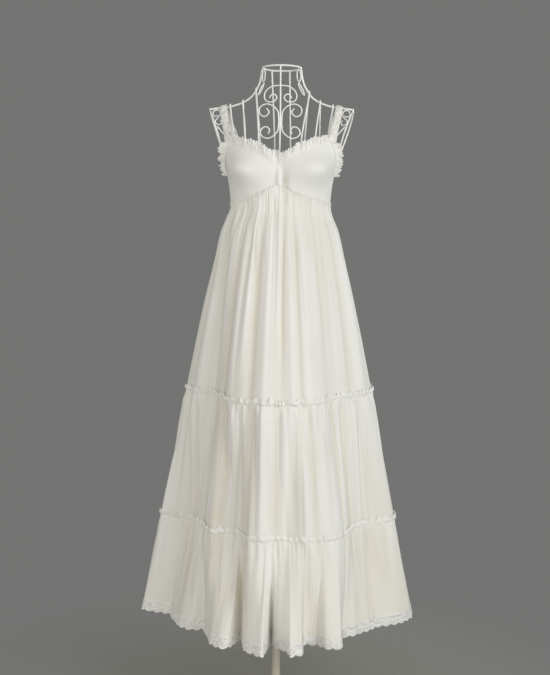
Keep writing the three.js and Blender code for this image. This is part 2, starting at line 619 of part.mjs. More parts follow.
// Ornaments and the hoops at the arms and the neck.
function inPlane({ middle, up, fore }, foreShare, upShare) {
  return new THREE.Vector3(...middle)
    .addScaledVector(new THREE.Vector3(...fore), foreShare)
    .addScaledVector(new THREE.Vector3(...up), upShare);
}
const oval = (plane, count) =>
  steps(0, 2 * Math.PI, count)
    .slice(0, count)
    .map((t) => inPlane(plane, Math.sin(t), Math.cos(t)));
// The chest scrolls lie on the front ribs' surface, a little further back towards the sides.
const onChest = ({ x, z }) => chest(z).add(new THREE.Vector3(x, 0.0026 * x * x, 0));

// The brace bows down a little.
const braceTop = inPlane(ARM_RING, Math.sqrt(1 - ARM_BRACE.ringShare ** 2), ARM_BRACE.ringShare);
const braceFoot = torso(64, ARM_BRACE.ribZ);
const braceLine = new THREE.Vector3().subVectors(braceFoot, braceTop).normalize();
braceTop.addScaledVector(braceLine, ARM_BRACE.topShort);
braceFoot.addScaledVector(braceLine, -ARM_BRACE.footShort);
const braceMiddle = braceTop.clone().lerp(braceFoot, 0.5);
braceMiddle.z -= ARM_BRACE.sag;
const shoulderScroll = SHOULDER_SCROLL.map(({ x, y, z }) => new THREE.Vector3(x, y, z));

for (const { side, sign } of SIDES) {
  add(form, `arm_ring_${side}`, hoop(onSide(sign, oval(ARM_RING, 16)), WIRE, 26), enamel);
  add(form, `arch_scroll_${side}`, wire(onSide(sign, ARCH_SCROLL.map(onChest)), SCROLL_WIRE, 20, 5), enamel);
  add(form, `c_scroll_${side}`, wire(onSide(sign, C_SCROLL.map(onChest)), SCROLL_WIRE, 34, 5), enamel);
  add(form, `shoulder_scroll_${side}`, wire(onSide(sign, shoulderScroll), SCROLL_WIRE, 26, 5), enamel);
  const brace = [braceTop, braceMiddle, braceFoot];
  add(form, `arm_brace_${side}`, wire(onSide(sign, brace), SCROLL_WIRE, 6, 5), enamel);
  for (const loop of NECK_LOOPS) {
    add(form, `${loop.name}_${side}`, hoop(onSide(sign, oval(loop, 10)), SCROLL_WIRE, 16, 5), enamel);
  }
}

// ---- Stand ----
const BOSS = { radius: 20, foot: 23, top: 40 };
const poleFoot = BASE_THICK + SEAM_GAP;
const HEAD = { radius: 15, bottom: HIP_Z - 12, top: HIP_Z + 8, spoke: 3 };
const socket = POLE_R + SEAM_GAP;
add(
  form,
  "base_plate",
  turned([
    [0, 0],
    [BASE_R, 0],
    [BASE_R, BASE_THICK - 3],
    [BASE_R - 4, BASE_THICK],
    [BOSS.foot, BASE_THICK],
    [BOSS.radius, BASE_THICK + 4],
    [BOSS.radius, BOSS.top],
    [socket, BOSS.top],
    [socket, BASE_THICK],
    [0, BASE_THICK],
  ]),
  cream,
);
const poleTop = HEAD.bottom - SEAM_GAP;
add(form, "pole", turned([[0, poleFoot], [POLE_R, poleFoot], [POLE_R, poleTop], [0, poleTop]], 20), cream);

// The head on the pole carries the hip ring on four spokes.
const spokeEnd = INSET + WIRE + 3 * SEAM_GAP;
const spokes = [0, 90, 180, 270].map((angle) => {
  const end = torso(angle, HIP_Z, -spokeEnd);
  const length = Math.hypot(end.x, end.y);
  const bar = new THREE.CylinderGeometry(HEAD.spoke, HEAD.spoke, length, 8).translate(0, -length / 2, 0);
  return bar.rotateZ(radians(angle)).translate(0, 0, HIP_Z);
});
const cap = turned([[0, HEAD.bottom], [HEAD.radius, HEAD.bottom], [HEAD.radius, HEAD.top], [0, HEAD.top]], 20);
add(form, "pole_head", joined([cap, ...spokes]), enamel);

export default new THREE.Group().add(dress, form);
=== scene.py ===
# %% [markdown]
# # A tiered maxi dress on a wire dress form
# The dress is light ivory cloth in three tiers, with cups, straps and lace frills, and it hangs on a
# welded wire torso on a pole. The solids are already there as a fixed frame. Here each of them gets the
# surface that the eye sees: cloth as thin sheets full of folds, wire as smooth round rod.
# The first step loads the frame. Cloth may stand only a little proud of it.

# %% Load the frame
import math

import bpy
import numpy as np
from mathutils import Matrix, Vector


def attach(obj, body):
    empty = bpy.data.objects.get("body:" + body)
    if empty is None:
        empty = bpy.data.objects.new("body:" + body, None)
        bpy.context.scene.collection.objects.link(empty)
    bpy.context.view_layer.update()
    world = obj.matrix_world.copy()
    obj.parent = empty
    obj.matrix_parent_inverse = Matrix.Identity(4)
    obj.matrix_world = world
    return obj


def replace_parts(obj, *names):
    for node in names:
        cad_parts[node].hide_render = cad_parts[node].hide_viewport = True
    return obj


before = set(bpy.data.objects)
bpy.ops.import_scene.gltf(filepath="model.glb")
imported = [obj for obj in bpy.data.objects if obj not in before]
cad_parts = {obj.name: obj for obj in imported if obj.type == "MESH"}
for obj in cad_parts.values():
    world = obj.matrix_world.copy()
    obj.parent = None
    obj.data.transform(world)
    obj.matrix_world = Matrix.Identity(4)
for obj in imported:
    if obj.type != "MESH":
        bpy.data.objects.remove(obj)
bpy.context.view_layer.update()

MM = 0.001  # every size below is in millimetres

# %% [markdown]
# ## Camera
# A long lens a few metres away keeps a tall dress from looking wide at the middle. The camera stands at
# chest height, looks down a little, and is rolled by half a degree. A camera can also be aimed by a
# tracking constraint, but that hides the roll. Built from turns about the three axes, each number can be
# read and changed by itself.

# %% Camera
EYE = {"height": 1.35, "away": 3.3, "round": 3.0, "aim": 0.19, "down": 6.2, "roll": 0.54, "lens": 67.2}
turn = math.radians(EYE["round"])
camera = bpy.data.objects.new("camera", bpy.data.cameras.new("camera"))
bpy.context.scene.collection.objects.link(camera)
camera.data.lens = EYE["lens"]
camera.data.clip_end = 60
facing = Matrix.Rotation(turn + math.radians(EYE["aim"]), 4, "Z")
tilted = Matrix.Rotation(math.radians(90 - EYE["down"]), 4, "X")
rolled = Matrix.Rotation(math.radians(EYE["roll"]), 4, "Z")
place = Matrix.Translation((EYE["away"] * math.sin(turn), -EYE["away"] * math.cos(turn), EYE["height"]))
camera.matrix_world = place @ facing @ tilted @ rolled
bpy.context.scene.camera = camera
bpy.context.scene.view_settings.view_transform = "Standard"
print("camera at", [round(c, 3) for c in camera.location])

# %% [markdown]
# ## Small tools
# A pattern maker draws a few sections and lets a flexible curve pass through them. `along` is that
# curve: it goes through every row of a table and never overshoots, so a waist stays a waist.
# Blender's own noise textures could move the points too, but `uneven` works on plain arrays, closes on
# itself round the body, and gives the same values in every run, for all that a hand left uneven.

# %% Curves through tables
def rows_of(columns, rows):
    names = columns.split()
    return [dict(zip(names, row)) for row in rows]


def curve(x, y, at):
    """A smooth curve through the points that never overshoots them."""
    slope = np.diff(y) / np.diff(x)
    both = slope[:-1] * slope[1:]
    inner = np.where(both > 0, 2 * both / np.where(both > 0, slope[:-1] + slope[1:], 1), 0)
    tangent = np.concatenate([slope[:1], inner, slope[-1:]])
    at = np.clip(at, x[0], x[-1])
    i = np.clip(np.searchsorted(x, at, side="right") - 1, 0, len(x) - 2)
    span = x[i + 1] - x[i]
    t = (at - x[i]) / span
    rise = y[i + 1] - y[i]
    start, end = tangent[i] * span, tangent[i + 1] * span
    return y[i] + start * t + (3 * rise - 2 * start - end) * t**2 + (start + end - 2 * rise) * t**3


def along(rows, key, column, at):
    """The value of one column of a table, where its key column is `at`."""
    rows = sorted(rows, key=lambda row: row[key])
    keys = np.array([row[key] for row in rows], float)
    values = np.array([row[column] for row in rows], float)
    return curve(keys, values, at)


halfway = curve(np.arange(3), np.array([0, 1, 4]), 1.5)
print("a curve through 0, 1 and 4 gives", round(float(halfway), 2), "at 1.5")


# %% Soft unevenness
CELLS_DOWN = 61  # grid rows before the random values repeat


def uneven(across, down, seed, cells=64):
    """Soft values between -1 and 1, with a new one at each whole step of `across` and `down`."""
    table = np.random.default_rng(seed).uniform(-1, 1, (cells, CELLS_DOWN))
    i, j = np.floor(across).astype(int), np.floor(down).astype(int)
    u, v = across - i, down - j
    u, v = u * u * (3 - 2 * u), v * v * (3 - 2 * v)

    def pick(a, b):
        return table[a % cells, b % CELLS_DOWN]

    low = pick(i, j) * (1 - u) + pick(i + 1, j) * u
    high = pick(i, j + 1) * (1 - u) + pick(i + 1, j + 1) * u
    return low * (1 - v) + high * v


def uneven_round(angle, cells, seed, down=0):
    """The same round the body: one turn has `cells` steps and closes on itself."""
    return uneven(angle / 360 * cells, down, seed, cells)


print("uneven values:", uneven(np.arange(0, 2, 0.5), 0, seed=1).round(2))


# %% Angles and soft steps
def wrapped(angle):
    """The angle brought between -180 and 180 degrees."""
    return angle - 360 * np.round(angle / 360)


def ease(value, low, high):
    """0 below `low`, 1 above `high`, and a soft step between them."""
    t = np.clip((value - low) / (high - low), 0, 1)
    return t * t * (3 - 2 * t)


def lerp(a, b, t):
    return a + (b - a) * t


print("190 degrees is", wrapped(190), "and a soft step is", float(ease(0.25, 0, 1)), "after a quarter")


# %% [markdown]
# ## Sheets
# Cloth is thinner than a millimetre, so each piece is one sheet of small squares, laid on points that
# are worked out first. `across` runs towards the wearer's left and `up` rises. Every sheet gets a flat
# map in millimetres, which the lace pattern follows, and a value of how deep in a fold each point lies, which
# sets the painted shade of the cloth.
# A draped cloth simulation would fold by itself, but not where these folds are, so they are laid one by one.

# %% Turn a grid of points into a sheet
def new_piece(name, points, faces, finish):
    """A smooth mesh from points in millimetres, fixed to the object's one body."""
    mesh = bpy.data.meshes.new(name)
    mesh.from_pydata((points.reshape(-1, 3) * MM).tolist(), [], faces)
    mesh.polygons.foreach_set("use_smooth", np.ones(len(faces), bool))
    mesh.materials.append(finish)
    piece = bpy.data.objects.new(name, mesh)
    bpy.context.scene.collection.objects.link(piece)
    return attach(piece, "root")


def sheet_mesh(name, points, finish, across, up, deep):
    across, up, deep = (np.broadcast_to(values, points.shape[:2]) for values in (across, up, deep))
    index = np.arange(across.size).reshape(across.shape)
    corners = [index[:-1, :-1], index[1:, :-1], index[1:, 1:], index[:-1, 1:]]
    faces = np.stack(corners, axis=-1).reshape(-1, 4)
    piece = new_piece(name, points, faces.tolist(), finish)
    flat = np.stack([across, up], axis=-1).reshape(-1, 2) * MM
    layer = piece.data.uv_layers.new(name="cut")
    layer.data.foreach_set("uv", flat[faces.reshape(-1)].astype(np.float32).reshape(-1))
    depth = piece.data.attributes.new("deep", "FLOAT", "POINT")
    depth.data.foreach_set("value", deep.reshape(-1).astype(np.float32))
    return piece


def show_area(piece, cut):
    """The cloth's area beside that of its flat cut, both in square metres."""
    area = sum(face.area for face in piece.data.polygons)
    print(piece.name, "cloth area", round(area, 5), "flat cut", round(cut[0] * cut[1], 5))


# %% Measure a grid of points
def outward(points):
    """The direction that points out of the cloth, at every point of a grid."""
    du = np.gradient(points, axis=0)
    dv = np.gradient(points, axis=1)
    normal = np.cross(du, dv)
    return normal / np.maximum(np.linalg.norm(normal, axis=-1, keepdims=True), 1e-9)


def lengths(points):
    """Distance travelled along the first direction, at every point of a grid."""
    step = np.linalg.norm(np.diff(points, axis=0), axis=-1)
    return np.concatenate([np.zeros((1, points.shape[1])), np.cumsum(step, axis=0)])


tile = np.array([[[0, 0, 0], [0, 1, 0]], [[1, 0, 0], [1, 1, 0]]], float)
print("a tile of 1 mm faces", outward(tile)[0, 0], "and is", lengths(tile).max(), "mm long")


# %% [markdown]
# ## Finishes
# The cloth is an ivory voile: matt, with a soft bloom at grazing angles and a faint crepe in its weave.
# Deep in the folds light comes from cloth to cloth and turns warmer, so shade is painted into the
# colour: it turns darker and warmer with the depth value. One flat colour would look like plaster, because so
# much of voile's look is in its folds.
# Lace is the same thread with holes, and the holes are real: the shader is clear there. Holes cut into
# the mesh would look the same from here and cost a million triangles.

# %% Helpers that lay out a finish
def fill_sockets(node, sockets):
    for socket, value in sockets.items():
        node.inputs[socket.replace("_", " ")].default_value = value


def new_finish(name, **sockets):
    finish = bpy.data.materials.new(name)
    finish.use_nodes = True
    nodes = finish.node_tree.nodes
    surface = nodes["Principled BSDF"]
    fill_sockets(surface, sockets)
    return finish, nodes, finish.node_tree.links, surface


def add_node(nodes, kind, **sockets):
    node = nodes.new("ShaderNode" + kind)
    fill_sockets(node, sockets)
    return node


# %% Ivory voile
def voile(name, pale, shade_colour, crepe):
    finish, nodes, links, surface = new_finish(
        name, Roughness=0.8, Sheen_Weight=0.25, Sheen_Roughness=0.45, Specular_IOR_Level=0.25)
    place = add_node(nodes, "TexCoord")
    depth = add_node(nodes, "Attribute")
    depth.attribute_name = "deep"
    # painted shade: the base colour turns darker and warmer with how deep in a fold a point lies
    tint = add_node(nodes, "MixRGB", Color1=(*pale, 1), Color2=(*shade_colour, 1))
    links.new(depth.outputs["Fac"], tint.inputs["Fac"])
    cloud = add_node(nodes, "TexNoise", Scale=14, Detail=3)
    links.new(place.outputs["Object"], cloud.inputs["Vector"])
    tone = add_node(nodes, "MapRange", To_Min=0.975, To_Max=1.02)
    links.new(cloud.outputs["Fac"], tone.inputs["Value"])
    shaded = add_node(nodes, "VectorMath")
    shaded.operation = "SCALE"
    links.new(tint.outputs["Color"], shaded.inputs[0])
    links.new(tone.outputs["Result"], shaded.inputs["Scale"])
    links.new(shaded.outputs["Vector"], surface.inputs["Base Color"])
    stretch = add_node(nodes, "Mapping", Scale=(1, 1, 0.12))  # the crepe runs up and down
    links.new(place.outputs["Object"], stretch.inputs["Vector"])
    crinkle = add_node(nodes, "TexNoise", Scale=260, Detail=2)
    links.new(stretch.outputs["Vector"], crinkle.inputs["Vector"])
    weave = add_node(nodes, "TexNoise", Scale=1800, Detail=1)
    links.new(place.outputs["Object"], weave.inputs["Vector"])
    long_crepe = add_node(nodes, "Bump", Strength=crepe, Distance=0.0012)
    fine_weave = add_node(nodes, "Bump", Strength=0.25, Distance=0.0002)
    links.new(crinkle.outputs["Fac"], long_crepe.inputs["Height"])
    links.new(weave.outputs["Fac"], fine_weave.inputs["Height"])
    links.new(long_crepe.outputs["Normal"], fine_weave.inputs["Normal"])
    links.new(fine_weave.outputs["Normal"], surface.inputs["Normal"])
    return finish


# painted shade: the second colour is the ivory darkened and warmed for the bottom of the folds
IVORY, FOLD_SHADE_IVORY = (0.89, 0.885, 0.86), (0.785, 0.745, 0.645)
# painted shade: the colour that the strap's crease hollows darken towards
CREASE_SHADE = (0.70, 0.68, 0.63)  # a strap's creases are darker than a skirt's folds
skirt_cloth = voile("ivory_voile", IVORY, FOLD_SHADE_IVORY, crepe=0.35)
bodice_cloth = voile("ivory_lining_voile", IVORY, FOLD_SHADE_IVORY, crepe=0.18)
strap_cloth = voile("ivory_strap_voile", IVORY, CREASE_SHADE, crepe=0.9)
print("cloths:", [cloth.name for cloth in (skirt_cloth, bodice_cloth, strap_cloth)])


# %% Lace with real holes
FLOWER_PITCH = 4.2  # from flower to flower, in meshes of the net


def lace(name, pitch, hole):
    """Net meshes of `pitch` mm, clear within `hole` of their middles, with whole flowers among them."""
    finish, nodes, links, surface = new_finish(
        name, Roughness=0.85, Sheen_Weight=0.3, Sheen_Roughness=0.5, Specular_IOR_Level=0.2)
    place = add_node(nodes, "TexCoord")
    net = add_node(nodes, "TexVoronoi", Scale=1 / (pitch * MM), Randomness=0.35)
    links.new(place.outputs["UV"], net.inputs["Vector"])
    flowers = add_node(nodes, "TexVoronoi", Scale=1 / (pitch * FLOWER_PITCH * MM), Randomness=0.8)
    links.new(place.outputs["UV"], flowers.inputs["Vector"])
    petal = add_node(nodes, "MapRange", From_Min=0.3, From_Max=0.42)
    links.new(flowers.outputs["Distance"], petal.inputs["Value"])
    opening = add_node(nodes, "MapRange", From_Min=hole + 0.1, From_Max=hole)
    links.new(net.outputs["Distance"], opening.inputs["Value"])
    clear = add_node(nodes, "Math")
    clear.operation = "MULTIPLY"
    links.new(petal.outputs["Result"], clear.inputs[0])
    links.new(opening.outputs["Result"], clear.inputs[1])
    solid_part = add_node(nodes, "Math")
    solid_part.operation = "SUBTRACT"
    solid_part.inputs[0].default_value = 1
    links.new(clear.outputs["Value"], solid_part.inputs[1])
    links.new(solid_part.outputs["Value"], surface.inputs["Alpha"])
    raised = add_node(nodes, "Bump", Strength=0.8, Distance=0.0015)
    links.new(solid_part.outputs["Value"], raised.inputs["Height"])
    links.new(raised.outputs["Normal"], surface.inputs["Normal"])
    thread = add_node(nodes, "MixRGB", Color1=(0.96, 0.955, 0.935, 1), Color2=(0.89, 0.88, 0.845, 1))
    links.new(net.outputs["Distance"], thread.inputs["Fac"])
    links.new(thread.outputs["Color"], surface.inputs["Base Color"])
    return finish


edging_lace = lace("edging_lace", pitch=2.8, hole=0.2)
frill_lace = lace("frill_lace", pitch=3.2, hole=0.14)
print("finishes:", [m.name for m in bpy.data.materials])


# %% [markdown]
# ## Wire and stand finishes
# The form is steel wire dipped in white enamel, so it is smooth, hard and a little glossy, with a few
# thin places. The pole and the base are a cream powder coat: a fine orange-peel skin over steel. Both are
# one recipe with other numbers, since each is a paint that settled on steel.

# %% Enamel and powder coat
def painted(name, colour, roughness, grain, scale):
    finish, nodes, links, surface = new_finish(name, Roughness=roughness, Coat_Weight=0.25, Coat_Roughness=0.2)
    place = add_node(nodes, "TexCoord")
    skin = add_node(nodes, "TexNoise", Scale=scale, Detail=3)
    links.new(place.outputs["Object"], skin.inputs["Vector"])
    peel = add_node(nodes, "Bump", Strength=grain, Distance=0.0003)
    links.new(skin.outputs["Fac"], peel.inputs["Height"])
    links.new(peel.outputs["Normal"], surface.inputs["Normal"])
    patch = add_node(nodes, "TexNoise", Scale=40, Detail=2)
    links.new(place.outputs["Object"], patch.inputs["Vector"])
    thin, thick = [c * 0.93 for c in colour], [min(1, c * 1.04) for c in colour]
    shade = add_node(nodes, "MixRGB", Color1=(*thin, 1), Color2=(*thick, 1))
    links.new(patch.outputs["Fac"], shade.inputs["Fac"])
    links.new(shade.outputs["Color"], surface.inputs["Base Color"])
    return finish


white_enamel = painted("white_enamel", (0.96, 0.965, 0.955), roughness=0.32, grain=0.2, scale=500)
cream_coat = painted("cream_powder_coat", (0.56, 0.53, 0.44), roughness=0.45, grain=0.35, scale=900)
print("paints:", white_enamel.name, "and", cream_coat.name)

# %% [markdown]
# ## The shape of the skirt
# A gathered skirt hangs from the empire seam and swings out to the hem. Cloth on the crests of its folds
# reaches furthest, so the table gives the crests: half the width, and how far front and back stand out.
# A cone with a bend in it would do for a rough model. Ovals through a table also give the flat front.

# %% Skirt sections and seam lines
SKIRT = rows_of("z half_width front back", [
    (1400, 129, 95, 84),
    (1340, 129, 92, 84),
    (1266, 154, 120, 108),
    (1191, 172, 139, 130),
    (1132, 186, 156, 146),
    (1041, 206, 181, 168),
    (855, 244, 228, 207),
    (514, 315, 268, 262),
    (248, 367, 350, 338),
])
HEM_Z, LACE_TALL = 248, 26
SEAM_1, SEAM_2 = 855, 514
SAG = {"upper": 7, "lower": 4, "wide": 40}  # the tier seams hang lower at the centre front, over `wide` degrees
EMPIRE_SEAM = rows_of("angle z", [
    (0, 1388), (5, 1384), (14, 1373), (27, 1362), (46, 1352), (90, 1340), (180, 1340),
])
print("skirt sections from", SKIRT[0]["z"], "down to", SKIRT[-1]["z"], "mm")


# %% Ovals and seam lines
def on_oval(table, angle, z, lift=0):
    """A point on the oval of a section table, moved out by `lift` square to the oval."""
    front, back = along(table, "z", "front", z), along(table, "z", "back", z)
    a = along(table, "z", "half_width", z)
    b = np.where(np.abs(wrapped(angle)) <= 90, front, back)
    s, c = np.sin(np.radians(angle)), np.cos(np.radians(angle))
    out = np.hypot(s / a, c / b)
    x = a * s + lift * s / a / out
    y = -b * c - lift * c / b / out
    return np.stack(np.broadcast_arrays(x, y, z), axis=-1)


def empire_seam(angle):
    return along(EMPIRE_SEAM, "angle", "z", np.abs(wrapped(angle)))


def sagging(z, sag, angle):
    return z - sag * np.exp(-((wrapped(angle) / SAG["wide"]) ** 2))


def upper_seam(angle):
    return sagging(SEAM_1, SAG["upper"], angle)


def lower_seam(angle):
    return sagging(SEAM_2, SAG["lower"], angle)


print("seams at the centre front:", [float(seam(0)) for seam in (empire_seam, upper_seam, lower_seam)])


# %% [markdown]
# ## Long folds
# The large folds were laid one by one, as a dresser arranges them. Each row is one line down the cloth, at
# its angle round the body, and says how far it lies behind the crests at the two seams and at the hem.
# Narrow deep rows beside shallow ones are the notches at the hem; the back has its own set of folds.
# A sculpting brush could press them in, but a table can be read, changed and used for every panel.

# %% The folds
FOLD_TOP = 1290  # the folds start below this height
FOLDS = rows_of("at seam_1 seam_2 hem", [
    (-90, 0, 4, 2), (-88, 0, 5, 3), (-85, 4, 28, 28), (-79, 14, 58, 80), (-70, 26, 80, 82),
    (-60, 58, 84, 77), (-50, 50, 80, 90), (-45, 40, 72, 118), (-40, 30, 56, 102), (-35, 22, 46, 86),
    (-31, 18, 56, 64), (-27.5, 16, 66, 44), (-21.5, 10, 76, 32), (-18.6, 8, 64, 40), (-17.2, 7, 56, 104),
    (-14, 4, 34, 74), (-11, 2, 16, 38), (-6, 0, 17, 14), (-2.6, 0, 20, 0), (-1.3, 2, 24, 60),
    (-0.2, 3, 26, 124), (2, 4, 28, 72), (7, 3, 30, 42), (8.4, 3, 26, 3), (12.9, 0, 12, 10),
    (16.4, 0, 7, 82), (22.2, 0, 7, 77), (25.1, 2, 8, 42), (30.7, 10, 12, 28), (35, 18, 24, 58),
    (40.4, 26, 38, 94), (48, 32, 60, 87), (57, 28, 68, 82), (66.4, 22, 62, 76), (71.6, 14, 52, 54),
    (80.4, 4, 16, 16), (86.3, 0, 2, 3), (91, 0, 2, 2), (96, 2, 8, 6), (101, 10, 26, 46), (107, 13, 30, 50),
    (112, 4, 8, 8), (117, 6, 12, 10), (122, 26, 44, 66), (128, 28, 46, 72), (133, 8, 14, 16),
    (138, 4, 10, 6), (142, 14, 34, 60), (148, 17, 38, 66), (153, 4, 12, 14), (158, 6, 10, 4),
    (162, 24, 46, 70), (167, 26, 50, 78), (171, 6, 12, 20), (176, 2, 6, 2), (181, 10, 30, 56),
    (187, 12, 34, 60), (192, 4, 10, 12), (197, 8, 14, 8), (201, 28, 50, 74), (206, 30, 52, 80),
    (211, 8, 16, 22), (216, 4, 8, 6), (220, 12, 32, 54), (226, 14, 34, 60), (231, 4, 10, 12),
    (236, 8, 14, 10), (241, 28, 48, 70), (247, 26, 46, 74), (252, 8, 14, 20), (257, 4, 10, 8),
    (262, 8, 20, 36), (265, 3, 12, 20), (268, 0, 5, 3),
])
print("large folds:", len(FOLDS))

# %% Depth of the folds at every angle and height
FOLD_STEP = {"angle": 0.1, "z": 4.0}


def fold_grid():
    """The depth at close steps of angle and height, so that a point only has to look it up."""
    heights = np.arange(HEM_Z, FOLD_TOP + FOLD_STEP["z"], FOLD_STEP["z"])
    turns = np.arange(-90, 270 + FOLD_STEP["angle"] / 2, FOLD_STEP["angle"])
    levels = np.array([HEM_Z, SEAM_2, SEAM_1, FOLD_TOP], float)
    lines = []
    for row in FOLDS:
        lines.append(curve(levels, np.array([row["hem"], row["seam_2"], row["seam_1"], 0.0]), heights))
    lines = np.array([lines[-1]] + lines + [lines[0]])  # a row from each end is repeated, so the curve closes
    at = [row["at"] for row in FOLDS]
    at = np.array([at[-1] - 360] + at + [at[0] + 360], float)
    return np.stack([curve(at, lines[:, k], turns) for k in range(len(heights))], axis=1)


DEPTHS = fold_grid()


def fold_depth(angle, z):
    angle, z = np.broadcast_arrays(np.asarray(angle, float), np.asarray(z, float))
    u = np.mod(angle + 90, 360) / FOLD_STEP["angle"]
    v = np.clip((z - HEM_Z) / FOLD_STEP["z"], 0, DEPTHS.shape[1] - 1.001)
    i, j = np.minimum(u.astype(int), DEPTHS.shape[0] - 2), v.astype(int)
    u, v = u - i, v - j
    low = DEPTHS[i, j] * (1 - u) + DEPTHS[i + 1, j] * u
    high = DEPTHS[i, j + 1] * (1 - u) + DEPTHS[i + 1, j + 1] * u
    return low * (1 - v) + high * v


print("fold grid", DEPTHS.shape, "deepest", round(float(DEPTHS.max())), "mm")


# %% [markdown]
# ## Soft folds and gathers
# Between the large folds run soft ridges that start at the gathers and fade on their way down.
# Right below each seam the cloth is drawn up on a thread, so it ripples finely there. The fine ripples
# die out within a hand's breadth, and wider ones take over and run down to the next seam. A displacement
# texture would ripple everywhere alike, and it knows nothing of the thread that the ripples hang from.

# %% Soft ridges and valleys of the two upper tiers, listed one by one
RIDGES = rows_of("at wide rise top low", [
    (-78, 3.4, -2.6, 1340, 900), (-66, 4.0, 2.8, 1345, 880), (-57, 3.4, -2.4, 1345, 860),
    (-49, 3.8, 3.2, 1350, 820), (-38.5, 3.2, -4.6, 1360, 760), (-29.5, 3.0, 2.2, 1365, 860),
    (-22.8, 2.2, 3.6, 1375, 980), (-15.3, 2.7, -4.8, 1380, 740), (-6.3, 3.0, 3.8, 1400, 760),
    (1.2, 1.3, 4.2, 1420, 1060), (4.6, 1.8, -4.0, 1400, 900), (10.4, 2.4, 3.6, 1400, 760),
    (16.0, 1.9, -4.8, 1380, 740), (21.8, 2.6, 3.0, 1370, 800), (33, 5.0, 2.6, 1240, 800),
    (37.4, 1.6, -3.4, 1355, 1120), (49, 4.0, 2.0, 1345, 860), (62, 4.2, -4.0, 1345, 800),
    (73, 3.6, 3.2, 1340, 840),
    (-70, 2.8, -2.8, 850, 480), (-61, 3.0, 3.0, 850, 480), (-52, 3.0, -3.2, 850, 480),
    (-42, 3.2, 2.8, 850, 480), (-31.8, 2.6, -3.8, 850, 480), (-25.2, 2.6, 3.8, 850, 480),
    (-12.3, 2.4, -3.4, 850, 480), (-6.0, 2.1, 4.4, 850, 470), (0.8, 2.0, -3.8, 850, 480),
    (6.0, 1.8, 2.4, 850, 500), (11.4, 1.8, -3.8, 850, 470), (16.2, 2.0, 3.4, 850, 480),
    (21.3, 1.8, -3.4, 850, 480), (28.0, 2.6, 3.2, 850, 480), (34.5, 2.2, 2.4, 850, 480),
    (39.6, 1.2, -4.4, 850, 470), (44.0, 1.6, 3.4, 850, 480), (50.0, 2.2, -3.8, 850, 480),
    (60.0, 3.0, 3.2, 850, 480),
])
print("ridges and valleys in front:", len(RIDGES))

# %% Soft ridges as heights
RIDGE_ENDS = {"above": 40, "below_low": 120, "above_low": 160}  # how far each ridge takes to rise and to fade
RIDGE_SHARE = {"top": 0.42, "full": 1.25, "from": 1400, "over": 340}  # they are weaker right under the bust


def soft_ridges(angle, z):
    """The back repeats the front's rows half a turn further round."""
    height = 0
    for row in RIDGES:
        shown = ease(z, row["low"] - RIDGE_ENDS["below_low"], row["low"] + RIDGE_ENDS["above_low"])
        shown = shown * ease(row["top"] - z, 0, RIDGE_ENDS["above"])
        for at in (row["at"], row["at"] + 180):
            height = height + row["rise"] * shown * np.exp(-((wrapped(angle - at) / row["wide"]) ** 2))
    strength = ease(RIDGE_SHARE["from"] - z, 0, RIDGE_SHARE["over"])
    return height * lerp(RIDGE_SHARE["top"], RIDGE_SHARE["full"], strength)


print("ridge at the centre front, 1200 mm up:", round(float(soft_ridges(0, 1200)), 2), "mm")


# %% Gathers, in widths that hand over to each other down the cloth
GATHERS = rows_of("cells drift rise sharp start fade", [
    (300, 60, 0.9, 0, 0, 34),
    (150, 120, 2.3, 1, 6, 120),
    (58, 300, 4.6, 1, 34, 420),
])
WANDER = {"cells": 48, "drift": 260, "degrees": 1.6}  # no gather runs straight down
SLOW_WAVE = {"cells": 30, "drift": 420, "rise": 3.2, "seed": 5}  # runs through all the tiers


def gathers(angle, z, seam, tier):
    """`cells` waves go round a tier of fullness 1, and `fade` is how far below the seam they last, in mm."""
    below = np.clip(seam - z, 0, None)
    wander = uneven_round(angle, WANDER["cells"], tier["seed"] + 9, below / WANDER["drift"])
    shifted = angle + WANDER["degrees"] * wander
    height = 0
    for row in GATHERS:
        cells = round(row["cells"] * tier["full"])
        wave = uneven_round(shifted, cells, tier["seed"] + cells, below / row["drift"])
        if row["sharp"]:
            wave = 2 * np.abs(wave) ** 0.85 - 0.8  # round crests with narrow valleys between them
        shown = ease(below, -1, row["start"] + 1) * np.exp(-below / row["fade"])
        height = height + row["rise"] * wave * shown
    return tier["rise"] * height


print("gathers round a plain tier:", [row["cells"] for row in GATHERS])


# %% All the folds of a tier together
PINCH = {"wide": 8, "depth": 7, "fade": 60}  # the hollow under the centre tab fades down the skirt
LIES_FLAT = 26  # mm over which the gathers die out above a tier's foot


def pinch(angle):
    return PINCH["depth"] * np.exp(-((wrapped(angle) / PINCH["wide"]) ** 2))


def slow_wave(angle, z):
    shown = SLOW_WAVE["rise"] * ease(EMPIRE_SEAM[-1]["z"] - z, 0, 200)
    return shown * uneven_round(angle, SLOW_WAVE["cells"], SLOW_WAVE["seed"], z / SLOW_WAVE["drift"])


def small_folds(angle, z, seam, tier):
    """The gathers lie flat again at the tier's foot, where the next tier is sewn on."""
    own = gathers(angle, z, seam, tier) * ease(z - tier["foot"](angle), -2, LIES_FLAT)
    return own + soft_ridges(angle, z) + slow_wave(angle, z)


def skirt(angle, z, seam, tier):
    angle, z = np.broadcast_arrays(np.asarray(angle, float), np.asarray(z, float))
    pinched = pinch(angle) * np.clip(1 - (empire_seam(angle) - z) / PINCH["fade"], 0, 1)
    return on_oval(SKIRT, angle, z, small_folds(angle, z, seam, tier) - pinched - fold_depth(angle, z))


print("pinch at the centre front:", float(pinch(0)), "mm")


# %% [markdown]
# ## The bodice's section
# The bodice has a section of its own, with a swell for each bust. Its upper edge runs from the middle up
# to the straps, and falls away under the arms. A subdivided box could be pulled into the same shape by
# hand. Swells on an oval stay smooth, and the lace and the tab can be laid on the very same surface.

